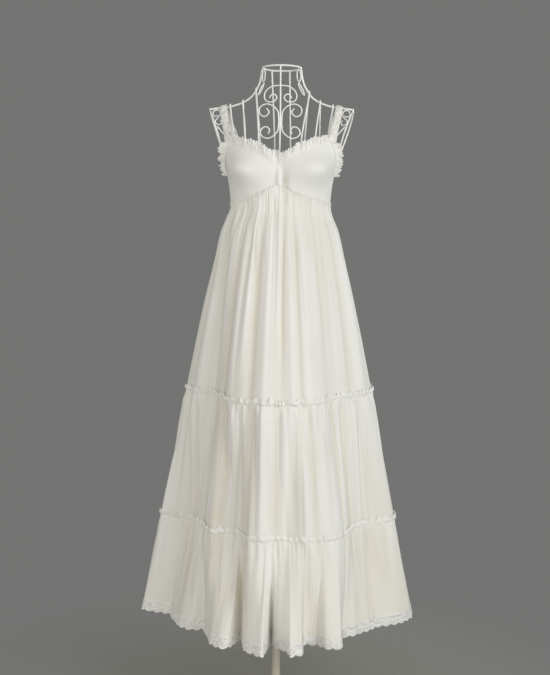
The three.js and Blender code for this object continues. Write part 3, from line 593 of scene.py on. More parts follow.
# %% Bodice surface
BODICE = rows_of("z half_width front back", [
    (1330, 129, 92, 84),
    (1360, 131, 92, 85),
    (1412, 138, 92, 86),
    (1450, 148, 90, 85),
    (1500, 158, 84, 84),
])
CUP = {"at": 37, "z": 1430, "wide": 23, "tall": 40, "lift": 34}  # the fullness of each cup
UPPER_EDGE = rows_of("angle z", [
    (0, 1443), (10, 1458), (19, 1476), (36, 1488), (60, 1498), (64, 1486),
    (76, 1447), (90, 1412), (120, 1430), (150, 1442), (180, 1446),
])


def upper_edge(angle):
    return along(UPPER_EDGE, "angle", "z", np.abs(wrapped(angle)))


def swell(bust, angle, z):
    """A round fullness on each side, given by its angle, height, spread and lift."""
    aside = (np.abs(wrapped(angle)) - bust["at"]) / bust["wide"]
    return bust["lift"] * np.exp(-(aside**2) - ((z - bust["z"]) / bust["tall"]) ** 2)


def bodice(angle, z, lift=0):
    return on_oval(BODICE, angle, z, lift + swell(CUP, angle, z) - pinch(angle))


print("fullest point of the left cup:", bodice(CUP["at"], CUP["z"]).round(1))


# %% [markdown]
# ## The three tiers
# Each tier is a front and a back panel, joined at the side seams. Columns are closer than a finger's
# width, so that even the small gathers are shape and not only shading. The upper tier's gathered edge
# lies over the foot of the cups. The other two are turned in behind the tier above.

# %% Panels of the skirt
SIDE_GAP = 0.08  # degrees left open at each side seam
SIDES = {"front": (-90 + SIDE_GAP, 90 - SIDE_GAP), "back": (90 + SIDE_GAP, 270 - SIDE_GAP)}
LACE_LINE = HEM_Z + LACE_TALL


def past_the_hem(angle):
    return np.full_like(angle, HEM_Z - 40)  # so that the gathers don't flatten at the hem


TIERS = [
    {"name": "tier_1", "top": empire_seam, "foot": upper_seam, "seed": 11, "rise": 0.9, "full": 0.75,
     "columns": 640, "rows": 76, "cut": (0.60, 0.56)},
    {"name": "tier_2", "top": upper_seam, "foot": lower_seam, "seed": 21, "rise": 1.0, "full": 1.1,
     "columns": 760, "rows": 52, "cut": (0.95, 0.37)},
    {"name": "tier_3", "top": lower_seam, "foot": past_the_hem, "seed": 31, "rise": 0.85, "full": 1.15,
     "columns": 860, "rows": 42, "cut": (1.25, 0.26)},
]
print("tiers:", [(tier["name"], tier["cut"]) for tier in TIERS])


# %% How deep in a fold a point lies
def painted_fold_shade(angle, z, seam, tier):
    """How much painted shade a point gets: 0 on a crest and 1 at the bottom of a fold; small folds count as
    well as large ones.
    """
    small = np.clip(0.35 - small_folds(angle, z, seam, tier) / 8, 0, 1)
    return np.clip(0.26 * fold_depth(angle, z) / 90 + 0.72 * small, 0, 1)


below_cups = painted_fold_shade(np.array([0.0, 20.0]), 1200, empire_seam(0), TIERS[0])
print("fold values in front, 1200 mm up:", below_cups.round(2))


# %% Upper edges of the tiers
TOP_EDGE = {"above": 0.6, "tips": 4.6, "puff": 2.0, "loose": 1.6}  # where the upper tier meets the cups
TURNED_IN = {"above": 2.2, "behind": 1.2}  # the upper edge of the other tiers


def gathered_over_cups(angle, share, top, foot, tier):
    tips = TOP_EDGE["tips"] * np.abs(uneven_round(angle, 190, 19)) ** 0.7
    z = lerp(foot, top + TOP_EDGE["above"] + tips, share**0.9)
    puff = TOP_EDGE["puff"] + TOP_EDGE["loose"] * uneven_round(angle, 230, 23, z / 9)
    over_cups = ease(z, top - 5, top)[..., None]
    return lerp(skirt(angle, z, top, tier), bodice(angle, z, puff), over_cups), z


def turned_in(angle, share, top, foot, tier):
    z = lerp(foot, top + TURNED_IN["above"], share)
    points = skirt(angle, z, top, tier)
    inside = TURNED_IN["behind"] * ease(z, top - 5, top + 2)
    return points - outward(points) * inside[..., None], z


print("the gathers reach up to", TOP_EDGE["above"] + TOP_EDGE["tips"], "mm over the empire seam")


# %% Lay the six panels
for tier in TIERS:
    for side, (start, stop) in SIDES.items():
        angle = np.linspace(start, stop, tier["columns"])[:, None]
        share = np.linspace(0, 1, tier["rows"])[None, :]
        top, foot = tier["top"](angle), np.maximum(tier["foot"](angle), LACE_LINE)
        laid = gathered_over_cups if tier["name"] == "tier_1" else turned_in
        points, z = laid(angle, share, top, foot, tier)
        name = f"{tier['name']}_{side}"
        # painted shade: the tiers' colour turns darker and warmer deep in their folds and gathers
        deep = painted_fold_shade(angle, z, top, tier)
        piece = sheet_mesh(name + "_cloth", points, skirt_cloth, lengths(points), z, deep)
        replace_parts(piece, name)
        show_area(piece, tier["cut"])

# %% [markdown]
# ## Frills over the tier seams
# Each lower tier is sewn on with its raw width drawn up, and the edge above the stitching stands up as a
# narrow frill. Its ruffles are a finger's width apart and wander a little, its edge rises and falls, and
# its foot meanders along the seam. One sine wave with an uneven phase gives ruffles that never repeat.

# %% Where the heading frills stand
HEADING_TALL = 16
HEADINGS = rows_of("name line behind seed ruffles cut", [
    ("heading_1", upper_seam, TIERS[0], 50, 84, (0.80, 0.018)),
    ("heading_2", lower_seam, TIERS[1], 57, 96, (1.05, 0.018)),
])
FOOT = {"below": 3.6, "meander": 1.9, "stitches": 2.0}  # mm below the seam line, and how much that changes
SIDE_SEAM = {"at": 89, "wide": 9, "stands": 2.4}  # the frill stands out more at the side seams


def frill_stand_off(base):
    """Out of the cloth and away from the pole, because on a fold's steep flank the frill stays flat."""
    normal = outward(base)
    radial = base * [1, 1, 0] / np.linalg.norm(base[..., :2], axis=-1, keepdims=True)
    facing = np.clip(np.sum(normal * radial, axis=-1), 0, 1)
    direction = normal + 0.8 * radial
    return direction / np.linalg.norm(direction, axis=-1, keepdims=True), facing


print("frills:", [(heading["name"], heading["ruffles"], "ruffles") for heading in HEADINGS])


# %% Ruffle the heading frills
for heading in HEADINGS:
    tier, seed = heading["behind"], heading["seed"]
    for side, (start, stop) in SIDES.items():
        angle = np.linspace(start, stop, 1700)[:, None]
        share = np.linspace(0, 1, 9)[None, :]
        meander = FOOT["meander"] * uneven_round(angle, 84, seed + 5)
        stitches = FOOT["stitches"] * np.abs(uneven_round(angle, 210, seed + 4))
        line = heading["line"](angle) - FOOT["below"] + meander - stitches
        loose = 0.7 + 0.3 * ease(uneven_round(angle, 26, seed), -0.8, 0.6)
        tips = uneven_round(angle, 170, seed + 1)
        phase = angle / 360 * heading["ruffles"] + 1.3 * uneven_round(angle, 50, seed + 3)
        strong = 0.7 + 0.5 * uneven_round(angle, 60, seed + 6)
        ruffle = strong * np.sin(2 * np.pi * phase)
        z = line + HEADING_TALL * (0.84 + 0.16 * loose + 0.16 * ruffle + 0.27 * tips * loose) * share
        base = skirt(angle, z, tier["top"](angle), tier)
        wave = uneven_round(angle, 150, seed + 2, share * 0.5)
        at_side = np.exp(-(((np.abs(wrapped(angle)) - SIDE_SEAM["at"]) / SIDE_SEAM["wide"]) ** 2))
        stands = ease(share, 0, 0.45) * (1.2 + 1.9 * loose) * (1 - 0.45 * ease(share, 0.6, 1))
        stands = stands + SIDE_SEAM["stands"] * at_side * share
        lift = 0.3 + stands + (1.5 * wave + 2.6 * ruffle) * ease(share, 0, 0.35) * (1 - 0.4 * share)
        direction, facing = frill_stand_off(base)
        lift = np.maximum(lift * lerp(0.35, 1, facing), 0.4 + 0.6 * share)
        points = base + direction * lift[..., None]
        name = f"{heading['name']}_{side}"
        # painted shade: the frill's colour turns darker and warmer in the troughs of its ruffles, towards its
        # foot
        deep = np.clip(0.2 - 0.3 * wave - 0.35 * ruffle - 0.2 * share, 0, 1)
        piece = sheet_mesh(name + "_frill", points, skirt_cloth, lengths(points), z, deep)
        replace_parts(piece, name)
        show_area(piece, heading["cut"])

# %% [markdown]
# ## Lace at the hem
# A band of cotton lace edges the lowest tier. Its lower edge is scalloped, so the points of the last rows
# follow a row of small arches, and its upper edge has a raised line of stitches. Scallops cut out by the
# shader would leave a straight edge from the side, so here they are shape.

# %% Hem lace
SCALLOP = {"wide": 25, "deep": 5}
LACE_CUT = (1.45, 0.029)
STITCHES = {"rise": 0.9, "tall": 1.6}
for side, (start, stop) in SIDES.items():
    angle = np.linspace(start, stop, 1400)[:, None]
    share = np.linspace(0, 1, 13)[None, :]
    rim = skirt(angle, np.full_like(angle, HEM_Z), lower_seam(angle), TIERS[2])
    run = lengths(rim)
    arch = SCALLOP["deep"] * (1 - np.abs(np.sin(np.pi * run / SCALLOP["wide"])) ** 0.7)
    z = lerp(HEM_Z + arch, LACE_LINE + 3.0, share)
    base = skirt(angle, z, lower_seam(angle), TIERS[2])
    flutter = 1.3 * uneven_round(angle, 120, 77, share) * (1 - share)
    stitched = STITCHES["rise"] * np.exp(-(((z - LACE_LINE) / STITCHES["tall"]) ** 2))
    points = base + outward(base) * (0.8 + flutter + stitched)[..., None]
    name = f"hem_lace_{side}"
    deep = painted_fold_shade(angle, z, lower_seam(angle), TIERS[2])
    piece = sheet_mesh(name + "_band", points, edging_lace, lengths(points), z, deep)
    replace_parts(piece, name)
    show_area(piece, LACE_CUT)

# %% [markdown]
# ## The bodice
# Two cups meet at a narrow tab over the centre, and a plain back closes the body. The cups are cut to
# curve, so they swell smoothly on their own section and pull small creases where they meet the tab and
# the empire seam. Cloth can be shrink-wrapped on a body, but here the body is a few wires far apart, and
# the cups span them by their own cut.

# %% Hollows and creases of the cups
def hollow(angle, share):
    """A soft hollow beside the tab, deeper on the wearer's left."""
    left = np.exp(-(((angle - 6.6) / 3.4) ** 2) - ((share - 0.22) / 0.3) ** 2) * ease(angle, 0, 3)
    right = np.exp(-(((angle + 6.0) / 3.0) ** 2) - ((share - 0.2) / 0.25) ** 2) * ease(-angle, 0, 3)
    return left + 0.35 * right


def small_creases(angle, share, seed):
    off = np.abs(wrapped(angle))
    near_seam = np.exp(-share / 0.10)
    near_tab = np.exp(-off / 9)
    crease = uneven_round(angle, 200, seed, share * 2)
    pull = uneven(off / 12, share * 16, seed + 1)
    soft = 0.5 * uneven_round(angle, 40, seed + 2, share * 3)
    return 0.9 * crease * near_seam + 0.8 * pull * near_tab + soft - 3.6 * hollow(angle, share)


print("hollow beside the tab:", round(float(hollow(6.6, 0.22)), 2), "on the left")


# %% Cups and back
PANELS = rows_of("name start stop columns rows cut held_by", [
    ("cup_right", -90 + 2 * SIDE_GAP, -0.15, 200, 70, (0.20, 0.15), "strap_right"),
    ("cup_left", 0.15, 90 - 2 * SIDE_GAP, 200, 70, (0.20, 0.15), "strap_left"),
    ("bodice_back", 90 + 2 * SIDE_GAP, 270 - 2 * SIDE_GAP, 260, 44, (0.36, 0.11), "strap_right"),
])
ROLLED_UNDER = {"by": 1.6, "within": 2.5}  # the foot of each panel turns in at the empire seam
for panel in PANELS:
    angle = np.linspace(panel["start"], panel["stop"], panel["columns"])[:, None]
    share = np.linspace(0, 1, panel["rows"])[None, :]
    z = lerp(empire_seam(angle), upper_edge(angle), share)
    rolled = -ROLLED_UNDER["by"] * np.exp(-(z - empire_seam(angle)) / ROLLED_UNDER["within"])
    points = bodice(angle, z, small_creases(angle, share, 81) + rolled)
    # painted shade: the cups' colour turns darker and warmer in the hollow beside the tab
    deep = np.clip(0.75 * hollow(angle, share), 0, 1)
    piece = sheet_mesh(panel["name"] + "_cloth", points, bodice_cloth, lengths(points), z, deep)
    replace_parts(piece, panel["name"])
    show_area(piece, panel["cut"])

# %% [markdown]
# ## The centre tab
# A short strip of the same cloth covers the join of the cups. It is rolled round the seam, so it is a
# small upright ridge with a crease or two along it. A separate tube would look stuck on. The bodice's own
# surface, raised a little, keeps the tab's edges lying on the cups.

# %% Centre tab
TAB = {"low": 1386, "high": 1443, "turn": 4.0, "rise": 5.6}  # `turn` is half its width, in degrees
TAB_CUT = (0.024, 0.055)
angle = np.linspace(-TAB["turn"], TAB["turn"], 40)[:, None]
z = np.linspace(TAB["low"], TAB["high"], 90)[None, :]
across_tab = np.clip(1 - (angle / TAB["turn"]) ** 2, 0, 1) ** 1.9
along_tab = ease(z, TAB["low"] - 4, TAB["low"] + 8) * ease(TAB["high"] - z, 0, 22)
roll = TAB["rise"] * across_tab * along_tab
pleat = 0.9 * uneven(angle / 1.3 + 8, z / 34, 91) * across_tab * along_tab
points = bodice(angle + 0 * z, z + 0 * angle, roll + pleat - 0.5 + 0.9 * across_tab)
piece = sheet_mesh("centre_tab_cloth", points, bodice_cloth, lengths(points), z, np.zeros(1))
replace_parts(piece, "centre_tab")
show_area(piece, TAB_CUT)

# %% [markdown]
# ## Lace frills
# A narrow lace is drawn up and sewn along the neckline and round the armholes. It is caught a little
# below the edge and fans out from there, so its free edge waves and shows its small points. Two layers of
# unevenness make it: broad waves for the gathers, and quick curls towards the free edge.

# %% Waves, curls and points
SIGNS = {"left": 1, "right": -1}
STRAP_CORNER, FRILL_END = 60, 97  # degrees where the neckline ends, and where the armhole's lace ends
FULLER = 1.25  # the lace is this much longer than the edge it is sewn to
TOOTH = {"wide": 10, "deep": 4.6}


def teeth(run):
    return TOOTH["deep"] * np.abs(np.sin(np.pi * run / TOOTH["wide"])) ** 0.8


def wave_and_curl(angle, share, broad, narrow, seed, curl_seed):
    waves = uneven_round(angle, broad, seed, share * 0.4)
    waves = waves + 0.7 * uneven_round(angle, narrow, seed + 1, share * 1.5)
    return waves, uneven_round(angle, 420, curl_seed, share * 3.5)


def lace_piece(name, points, run, up, cut):
    piece = sheet_mesh(name + "_lace", points, frill_lace, run, up, np.zeros(1))
    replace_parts(piece, name)
    show_area(piece, cut)


# %% Neckline frill
NECK_FRILL = {"sewn": 0.7, "lift": 0.9, "lean": 2.6, "below": 7, "reach": 25, "waves": 4.6, "curls": 2.2}
MIDDLE = {"taller": 1.3, "turn": 14}  # the neckline's lace is taller at the centre front


def neck_frill(side, sign, seed):
    angle = np.sort(sign * np.linspace(0.1, STRAP_CORNER + 1, 560))[:, None]
    share = np.linspace(0, 1, 13)[None, :]
    waves, curls = wave_and_curl(angle, share, 110, 250, seed, seed + 6)
    lift = NECK_FRILL["sewn"] + NECK_FRILL["lift"] * ease(share, 0, 0.3) + NECK_FRILL["lean"] * share**2
    lift = lift + (NECK_FRILL["waves"] * waves + NECK_FRILL["curls"] * curls) * ease(share, 0, 0.7)
    points = bodice(angle + 0 * share, upper_edge(angle) - NECK_FRILL["below"] + 0 * share, lift)
    run = lengths(points)[:, :1] * FULLER
    ragged = 3.0 * uneven_round(angle, 110, seed + 2)
    taller = lerp(MIDDLE["taller"], 1, np.clip(np.abs(angle) / MIDDLE["turn"], 0, 1))
    points[..., 2] += ((NECK_FRILL["reach"] + teeth(run) + ragged) * taller) * share
    lace_piece(f"neck_frill_{side}", points, run, points[..., 2], (0.23, 0.026))


print("the neckline's lace reaches", NECK_FRILL["reach"], "mm up from its foot")


# %% Armhole frill
ARM_FRILL = {"left": {"wide": 13, "inside": 3.6}, "right": {"wide": 9, "inside": 7.5}}
ARM_WAVES, ARM_CURLS = 3.2, 1.7
SEAM_SHARE = 0.3  # the part of the armhole's lace that lies on the cup


def arm_frill(side, sign, seed):
    frill = ARM_FRILL[side]
    angle = np.sort(sign * np.linspace(STRAP_CORNER - 4.5, FRILL_END, 480))[:, None]
    share = np.linspace(0, 1, 13)[None, :]
    edge = bodice(angle, upper_edge(angle))
    beyond = bodice(angle, upper_edge(angle), 1.0) - edge
    backward = bodice(angle + sign, upper_edge(angle)) - edge
    backward /= np.linalg.norm(backward, axis=-1, keepdims=True)
    past = np.clip((np.abs(angle) - STRAP_CORNER) / (FRILL_END - STRAP_CORNER), 0, 1)
    away = beyond + backward * lerp(0.8, 0, past)[..., None]
    away /= np.linalg.norm(away, axis=-1, keepdims=True)
    run = lengths(edge) * FULLER
    ragged = 2.4 * uneven_round(angle, 150, seed + 5)
    width = (frill["wide"] + teeth(run) + ragged) * lerp(1, 0.45, past**3)
    width = width * lerp(0.4, 1, ease(np.abs(angle), STRAP_CORNER - 4, STRAP_CORNER + 5))
    out = 1 - share
    sewn = bodice(angle - sign * frill["inside"], upper_edge(angle), 1.0)
    over_rim = np.clip(out / SEAM_SHARE, 0, 1)[..., None]
    free = width * np.clip((out - SEAM_SHARE) / (1 - SEAM_SHARE), 0, 1)
    points = sewn + (edge + beyond * 1.8 - sewn) * over_rim + away * free[..., None]
    waves, curls = wave_and_curl(angle, share, 150, 320, seed + 3, seed + 7)
    stir = (ARM_WAVES * waves + ARM_CURLS * curls) * ease(out, 0.1, 0.7)
    points = points + beyond * stir[..., None]
    lace_piece(f"arm_frill_{side}", points, run, width * out, (0.13, 0.019))


print("the armholes' lace stands out by", [frill["wide"] for frill in ARM_FRILL.values()], "mm")


# %% Sew on the lace frills
for side, seed in (("left", 100), ("right", 120)):
    neck_frill(side, SIGNS[side], seed)
    arm_frill(side, SIGNS[side], seed)

# %% [markdown]
# ## Straps
# Each strap is a tube of cloth pressed flat. It goes from the corner of the cup over the shoulder wire
# and down to the back. A table of its middle line gives where it lies and which way its width points,
# which a bevelled curve couldn't tell: it would turn over at the shoulder.

# %% Smooth lines through points
def smooth_path(points, count, closed=False):
    points = np.array(points, float)
    if closed:
        padded = np.concatenate([points[-1:], points, points[:2]])
    else:
        padded = np.concatenate([2 * points[:1] - points[1:2], points, 2 * points[-1:] - points[-2:-1]])
    knots = np.concatenate([[0], np.cumsum(np.sqrt(np.linalg.norm(np.diff(padded, axis=0), axis=1)))])
    ends = knots[1], knots[-2]
    t = np.linspace(*ends, count + 1)[:-1] if closed else np.linspace(*ends, count)
    i = np.clip(np.searchsorted(knots, t, side="right") - 1, 1, len(padded) - 3)
    t = t[:, None]
    k = [knots[i + n][:, None] for n in (-1, 0, 1, 2)]
    p = [padded[i + n] for n in (-1, 0, 1, 2)]
    a = [p[n] + (p[n + 1] - p[n]) * (t - k[n]) / (k[n + 1] - k[n]) for n in range(3)]
    b = [a[n] + (a[n + 1] - a[n]) * (t - k[n]) / (k[n + 2] - k[n]) for n in range(2)]
    return b[0] + (b[1] - b[0]) * (t - k[1]) / (k[2] - k[1])


print("a bend through three points:", smooth_path([(0, 0, 0), (4, 4, 0), (8, 0, 0)], 5).round(1).tolist())


# %% Straps
STRAP_WIDE = 19
STRAP = rows_of("x y z ax ay az", [
    (133.0, -41.5, 1488.0, 0.66, 0.75, 0.05),
    (136.2, -42.2, 1499.5, 0.72, 0.69, 0.05),
    (139.5, -35, 1528, 0.92, 0.38, -0.02),
    (145, -20, 1558, 0.98, 0.12, -0.1),
    (149, -6, 1584, 0.99, 0.03, -0.14),
    (150, 5, 1593.4, 0.99, 0, -0.12),
    (148, 17, 1583, 0.985, -0.03, -0.14),
    (138, 48, 1550, 0.95, -0.25, -0.12),
    (119, 74, 1500, 0.85, -0.5, -0.1),
    (98.5, 62.5, 1438.6, 0.78, -0.62, -0.05),
])
STRAP_CUT = (0.021, 0.24)
for side, sign in SIGNS.items():
    line = smooth_path([(row["x"], row["y"], row["z"]) for row in STRAP], 150)
    width = smooth_path([(row["ax"], row["ay"], row["az"]) for row in STRAP], 150)
    width /= np.linalg.norm(width, axis=1, keepdims=True)
    travel = np.linspace(0, 1, 150)[None, :]
    over = np.linspace(-1, 1, 15)[:, None]
    half = STRAP_WIDE / 2 * (1 + 0.06 * uneven(travel * 20, 0, 140))
    points = line[None, :, :] + width[None, :, :] * (over * sign * half)[..., None]
    points[..., 0] *= sign
    crumple = 1.3 * uneven(over * 1.5 + 5, travel * 46, 141 + sign)
    crumple = crumple + 0.6 * uneven(over * 4 + 9, travel * 95, 151 + sign, 96)
    crown = 1.5 * np.sqrt(np.clip(1 - over**2, 0, 1))
    points = points + outward(points) * (0.4 + crown + crumple * (1 - over**4))[..., None]
    name = f"strap_{side}"
    # painted shade: the strap's colour darkens in the hollows of its crumples
    deep = np.clip(0.3 - crumple / 2.6, 0, 1)
    piece = sheet_mesh(name + "_cloth", points, strap_cloth, over * 10, travel * 240, deep)
    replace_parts(piece, name)
    show_area(piece, STRAP_CUT)

# %% [markdown]
# ## The wire form
# The torso is bent from round wire: ribs that follow a slim bust, rings that hold them, shoulder wires,
# hoops at the arms and scrolls for ornament. A curve with a round bevel would also do for the wires, but
# its ends are flat. Here a ring of points is swept along each line, and its ends are rounded, as dipped
# enamel leaves them.

# %% Faces between rings of points
def side_faces(index, closed=False):
    """Four-sided faces between rings of points that lie one after the other."""
    now, following = (index, np.roll(index, -1, axis=0)) if closed else (index[:-1], index[1:])
    corners = [now, np.roll(now, -1, 1), np.roll(following, -1, 1), following]
    faces = np.stack(corners, axis=-1).reshape(-1, 4).tolist()
    return faces if closed else faces + [index[0][::-1].tolist(), index[-1].tolist()]


print("a rod between two rings of four points has", len(side_faces(np.arange(8).reshape(2, 4))), "faces")


# %% Sweep a round rod along a line
def rod(name, points, radius, finish, closed=False, sides=12):
    ahead = np.roll(points, -1, axis=0) - np.roll(points, 1, axis=0)
    if not closed:
        ahead[0], ahead[-1] = points[1] - points[0], points[-1] - points[-2]
    ahead /= np.linalg.norm(ahead, axis=1, keepdims=True)
    spoke = np.cross(ahead[0], [0.31, 0.17, 0.93])
    spokes = []
    for direction in ahead:
        spoke = spoke - direction * np.dot(spoke, direction)
        spoke /= np.linalg.norm(spoke)
        spokes.append(spoke)
    spokes = np.array(spokes)
    if closed:
        first, last = spokes[0], spokes[-1] - ahead[0] * np.dot(spokes[-1], ahead[0])
        slip = math.atan2(np.dot(np.cross(last, first), ahead[0]), np.dot(last, first))
        turns = (slip * np.arange(len(points)) / len(points))[:, None]
        spokes = spokes * np.cos(turns) + np.cross(ahead, spokes) * np.sin(turns)
    sideways = np.cross(ahead, spokes)
    widths = np.full(len(points), float(radius))
    centres = points
    if not closed:
        cap = radius * np.array([0.0, 0.35, 0.7, 1.0])
        start = points[0] + ahead[0] * cap[:, None]
        stop = points[-1] - ahead[-1] * cap[::-1, None]
        centres = np.concatenate([start, points[1:-1], stop])
        round_end = radius * np.sqrt(np.clip(1 - (1 - cap / radius) ** 2, 0.02, 1))
        widths = np.concatenate([round_end, widths[1:-1], round_end[::-1]])
        spokes, sideways = (
            np.concatenate([np.repeat(v[:1], 4, 0), v[1:-1], np.repeat(v[-1:], 4, 0)])
            for v in (spokes, sideways))
    t = np.linspace(0, 2 * math.pi, sides, endpoint=False)
    rings = centres[:, None] + widths[:, None, None] * (
        np.cos(t)[None, :, None] * spokes[:, None] + np.sin(t)[None, :, None] * sideways[:, None])
    index = np.arange(len(centres) * sides).reshape(-1, sides)
    return new_piece(name, rings, side_faces(index, closed), finish)


# %% Bend one wire of the form
def wire(node, points, radius, count, closed=False, sign=1):
    path = smooth_path(points, count, closed) * [sign, 1, 1]
    piece = rod(node + "_rod", path, radius, white_enamel, closed)
    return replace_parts(piece, node)


# %% [markdown]
# ## Ribs, rings and shoulders
# The ribs hook over the shoulder wires and run down to the hip ring. Such a cage can be cut out of a torso
# mesh, but its wires wouldn't hook over the shoulders. Here their line is the torso's own section, so one
# table shapes them all.

# %% Torso tables
TORSO = rows_of("z half_width front back", [
    (1000, 160, 112, 118),
    (1060, 163, 113, 122),
    (1150, 143, 96, 102),
    (1230, 110, 76, 72),
    (1350, 120, 80, 75),
    (1440, 131, 78, 76),
    (1505, 134, 60, 72),
])
BUST = {"at": 38, "z": 1432, "wide": 24, "tall": 42, "lift": 24}
WIRE, FRAME_WIRE, SCROLL_WIRE = 2.0, 2.5, 1.6  # radii of the ribs, the shoulder wires and the ornaments
WELD_GAP = 0.3
INSET = 2 * WIRE + WELD_GAP  # a ring runs this far inside the ribs, and less where they bow in
SHOULDER = rows_of("x y z", [
    (50, -3, 1686.1), (52.5, -2, 1668), (57.5, 0, 1649), (65, 1, 1634), (76, 2, 1618),
    (95, 3, 1604), (118, 4, 1595), (138, 5, 1590), (165, 5, 1587), (188, 5, 1584),
])
CHEST = rows_of("z y", [(1691, -56.8), (1660, -54), (1610, -50), (1560, -52), (1505, -60)])
SIDE_RIBS = rows_of("name left right angle", [
    ("front_rib_1", 72, 66, 24), ("front_rib_2", 100, 100, 42), ("front_rib_3", 133, 133, 64),
    ("back_rib_1", 70, 66, 154), ("back_rib_2", 100, 100, 133), ("back_rib_3", 133, 133, 110),
])
NECK_RIB = {"left": 160, "right": 149, "angle": 171}
NECK = {"y": -3, "z": 1689, "radius": 49, "tilt": 2.5}
RINGS = rows_of("name z inset", [
    ("underbust_ring", 1375, INSET), ("waist_ring", 1230, INSET - 1.6), ("hip_ring", 1000, INSET),
])
RIB_HEIGHTS = [1505, 1445, 1375, 1300, 1230, 1150, 1060, 997]


print("front and back ribs on each side:", len(SIDE_RIBS))


# %% Points on the torso, the shoulders and the neck
def torso(angle, z, lift=0):
    angle, z = np.asarray(angle, float), np.asarray(z, float)
    return on_oval(TORSO, angle, z, swell(BUST, angle, z) + lift)


def down(angle):
    return [torso(angle, z) for z in RIB_HEIGHTS]


def shoulder(x):
    return np.array([x, along(SHOULDER, "x", "y", x), along(SHOULDER, "x", "z", x)], float)


def neck_ring(angle, lift=0):
    s, c = math.sin(math.radians(angle)), math.cos(math.radians(angle))
    reach = NECK["radius"] + lift
    return np.array([reach * s, NECK["y"] - reach * c, NECK["z"] + NECK["tilt"] * c])


def chest(z):
    return np.array([0, along(CHEST, "z", "y", z), z], float)


print("top of the left shoulder wire:", shoulder(100).round(1), "and front of the neck:", neck_ring(0).round(1))


# %% Rings and ribs
once_round = np.arange(0, 360, 15)
wire("neck_ring", [neck_ring(a) for a in once_round], FRAME_WIRE, 72, closed=True)
for ring in RINGS:
    wire(ring["name"], [torso(a, ring["z"], -ring["inset"]) for a in once_round], WIRE, 96, closed=True)
wire("front_rib_middle", [chest(row["z"]) for row in CHEST[:-1]] + down(0), WIRE, 90)
hook = FRAME_WIRE + WIRE + WELD_GAP  # from the middle of the shoulder wire to the middle of a rib
HOOK = [(-3.5, 3.6), (-0.5, hook + 1.2), (hook - 0.8, 4.0), (hook, 0)]  # a rib's end is bent over the wire
for side, sign in SIGNS.items():
    wire(f"shoulder_wire_{side}", [shoulder(row["x"]) for row in SHOULDER], FRAME_WIRE, 48, sign=sign)
    for rib in SIDE_RIBS:
        over = -1 if rib["angle"] < 90 else 1
        on_top = shoulder(rib[side])
        hooked = [on_top + [0, over * along_y, rise] for along_y, rise in HOOK]
        wire(f"{rib['name']}_{side}", hooked + down(rib["angle"]), WIRE, 110, sign=sign)
    wire(f"back_rib_0_{side}", [neck_ring(NECK_RIB[side], hook)] + down(NECK_RIB["angle"]), WIRE, 80, sign=sign)

# %% [markdown]
# ## Hoops and scrolls
# The arm hoops and the scrolls on the chest are what make this form decorative. Each is a common
# wrought-wire curl, given by a short row of points on the plane it lies in. A spiral tool would make them
# too even for wire that was bent round a jig.

# %% Ornaments
ARM_RING = {"middle": (168, 8, 1526), "up": (17.3, -3, 53.7), "fore": (-4, -31, 0)}
NECK_LOOPS = {
    "neck_loop": {"middle": (45.2, -17.9, 1668.5), "up": (-0.5, -0.5, 15.8), "fore": (-4.4, -12.2, 0)},
    "lower_neck_loop": {"middle": (51.8, -12.4, 1634.7), "up": (-7.2, -4, 15), "fore": (-2.9, -8.5, 0)},
}
SHOULDER_SCROLL = [
    (163, -7, 1569), (169, -7, 1565), (176, -5, 1569), (176, -1, 1577.5), (169, 4.5, 1582.4),
    (160.5, 0, 1579.5), (158, -5, 1571), (163, -8, 1562), (170, -8, 1554), (167, -8, 1546),
    (157, -8, 1545), (154, -8, 1552), (159, -8, 1556),
]
ARCH_SCROLL = [
    (2.6, 1641), (21.5, 1638.5), (36.5, 1628), (41.5, 1615), (38, 1604), (27.5, 1599.5),
    (15, 1602), (9.5, 1610), (12.5, 1617), (20.5, 1619), (25.5, 1615), (28.5, 1609),
]
C_SCROLL = [
    (35.5, 1584), (29, 1573.5), (39.5, 1563), (52.5, 1570), (53, 1585), (38, 1594.5), (18.5, 1589.5),
    (6.5, 1576), (4.2, 1562), (4.2, 1540), (7.5, 1524), (28, 1508), (45, 1512), (51, 1523), (45, 1534),
    (34.5, 1537), (27, 1529), (30.5, 1519),
]
print("points of each scroll:", [len(scroll) for scroll in (SHOULDER_SCROLL, ARCH_SCROLL, C_SCROLL)])

# %% Places on hoops and on the chest
ARM_BRACE = {"ring_share": 0.354, "top_short": 7.8, "rib_z": 1500, "foot_short": 5.9, "sag": 4}


def in_plane(plane, fore, up):
    return np.array(plane["middle"]) + np.array(plane["fore"]) * fore + np.array(plane["up"]) * up


def hoop_points(plane, count):
    turns = np.linspace(0, 2 * math.pi, count, endpoint=False)
    return [in_plane(plane, math.sin(t), math.cos(t)) for t in turns]


CHEST_BEND = 0.0026  # the scrolls bow back with the square of their distance from the middle rib


def on_chest(x, z):
    return chest(z) + [x, CHEST_BEND * x * x, 0]


print("a place on the chest, 30 mm to the left:", on_chest(30, 1500).round(1))


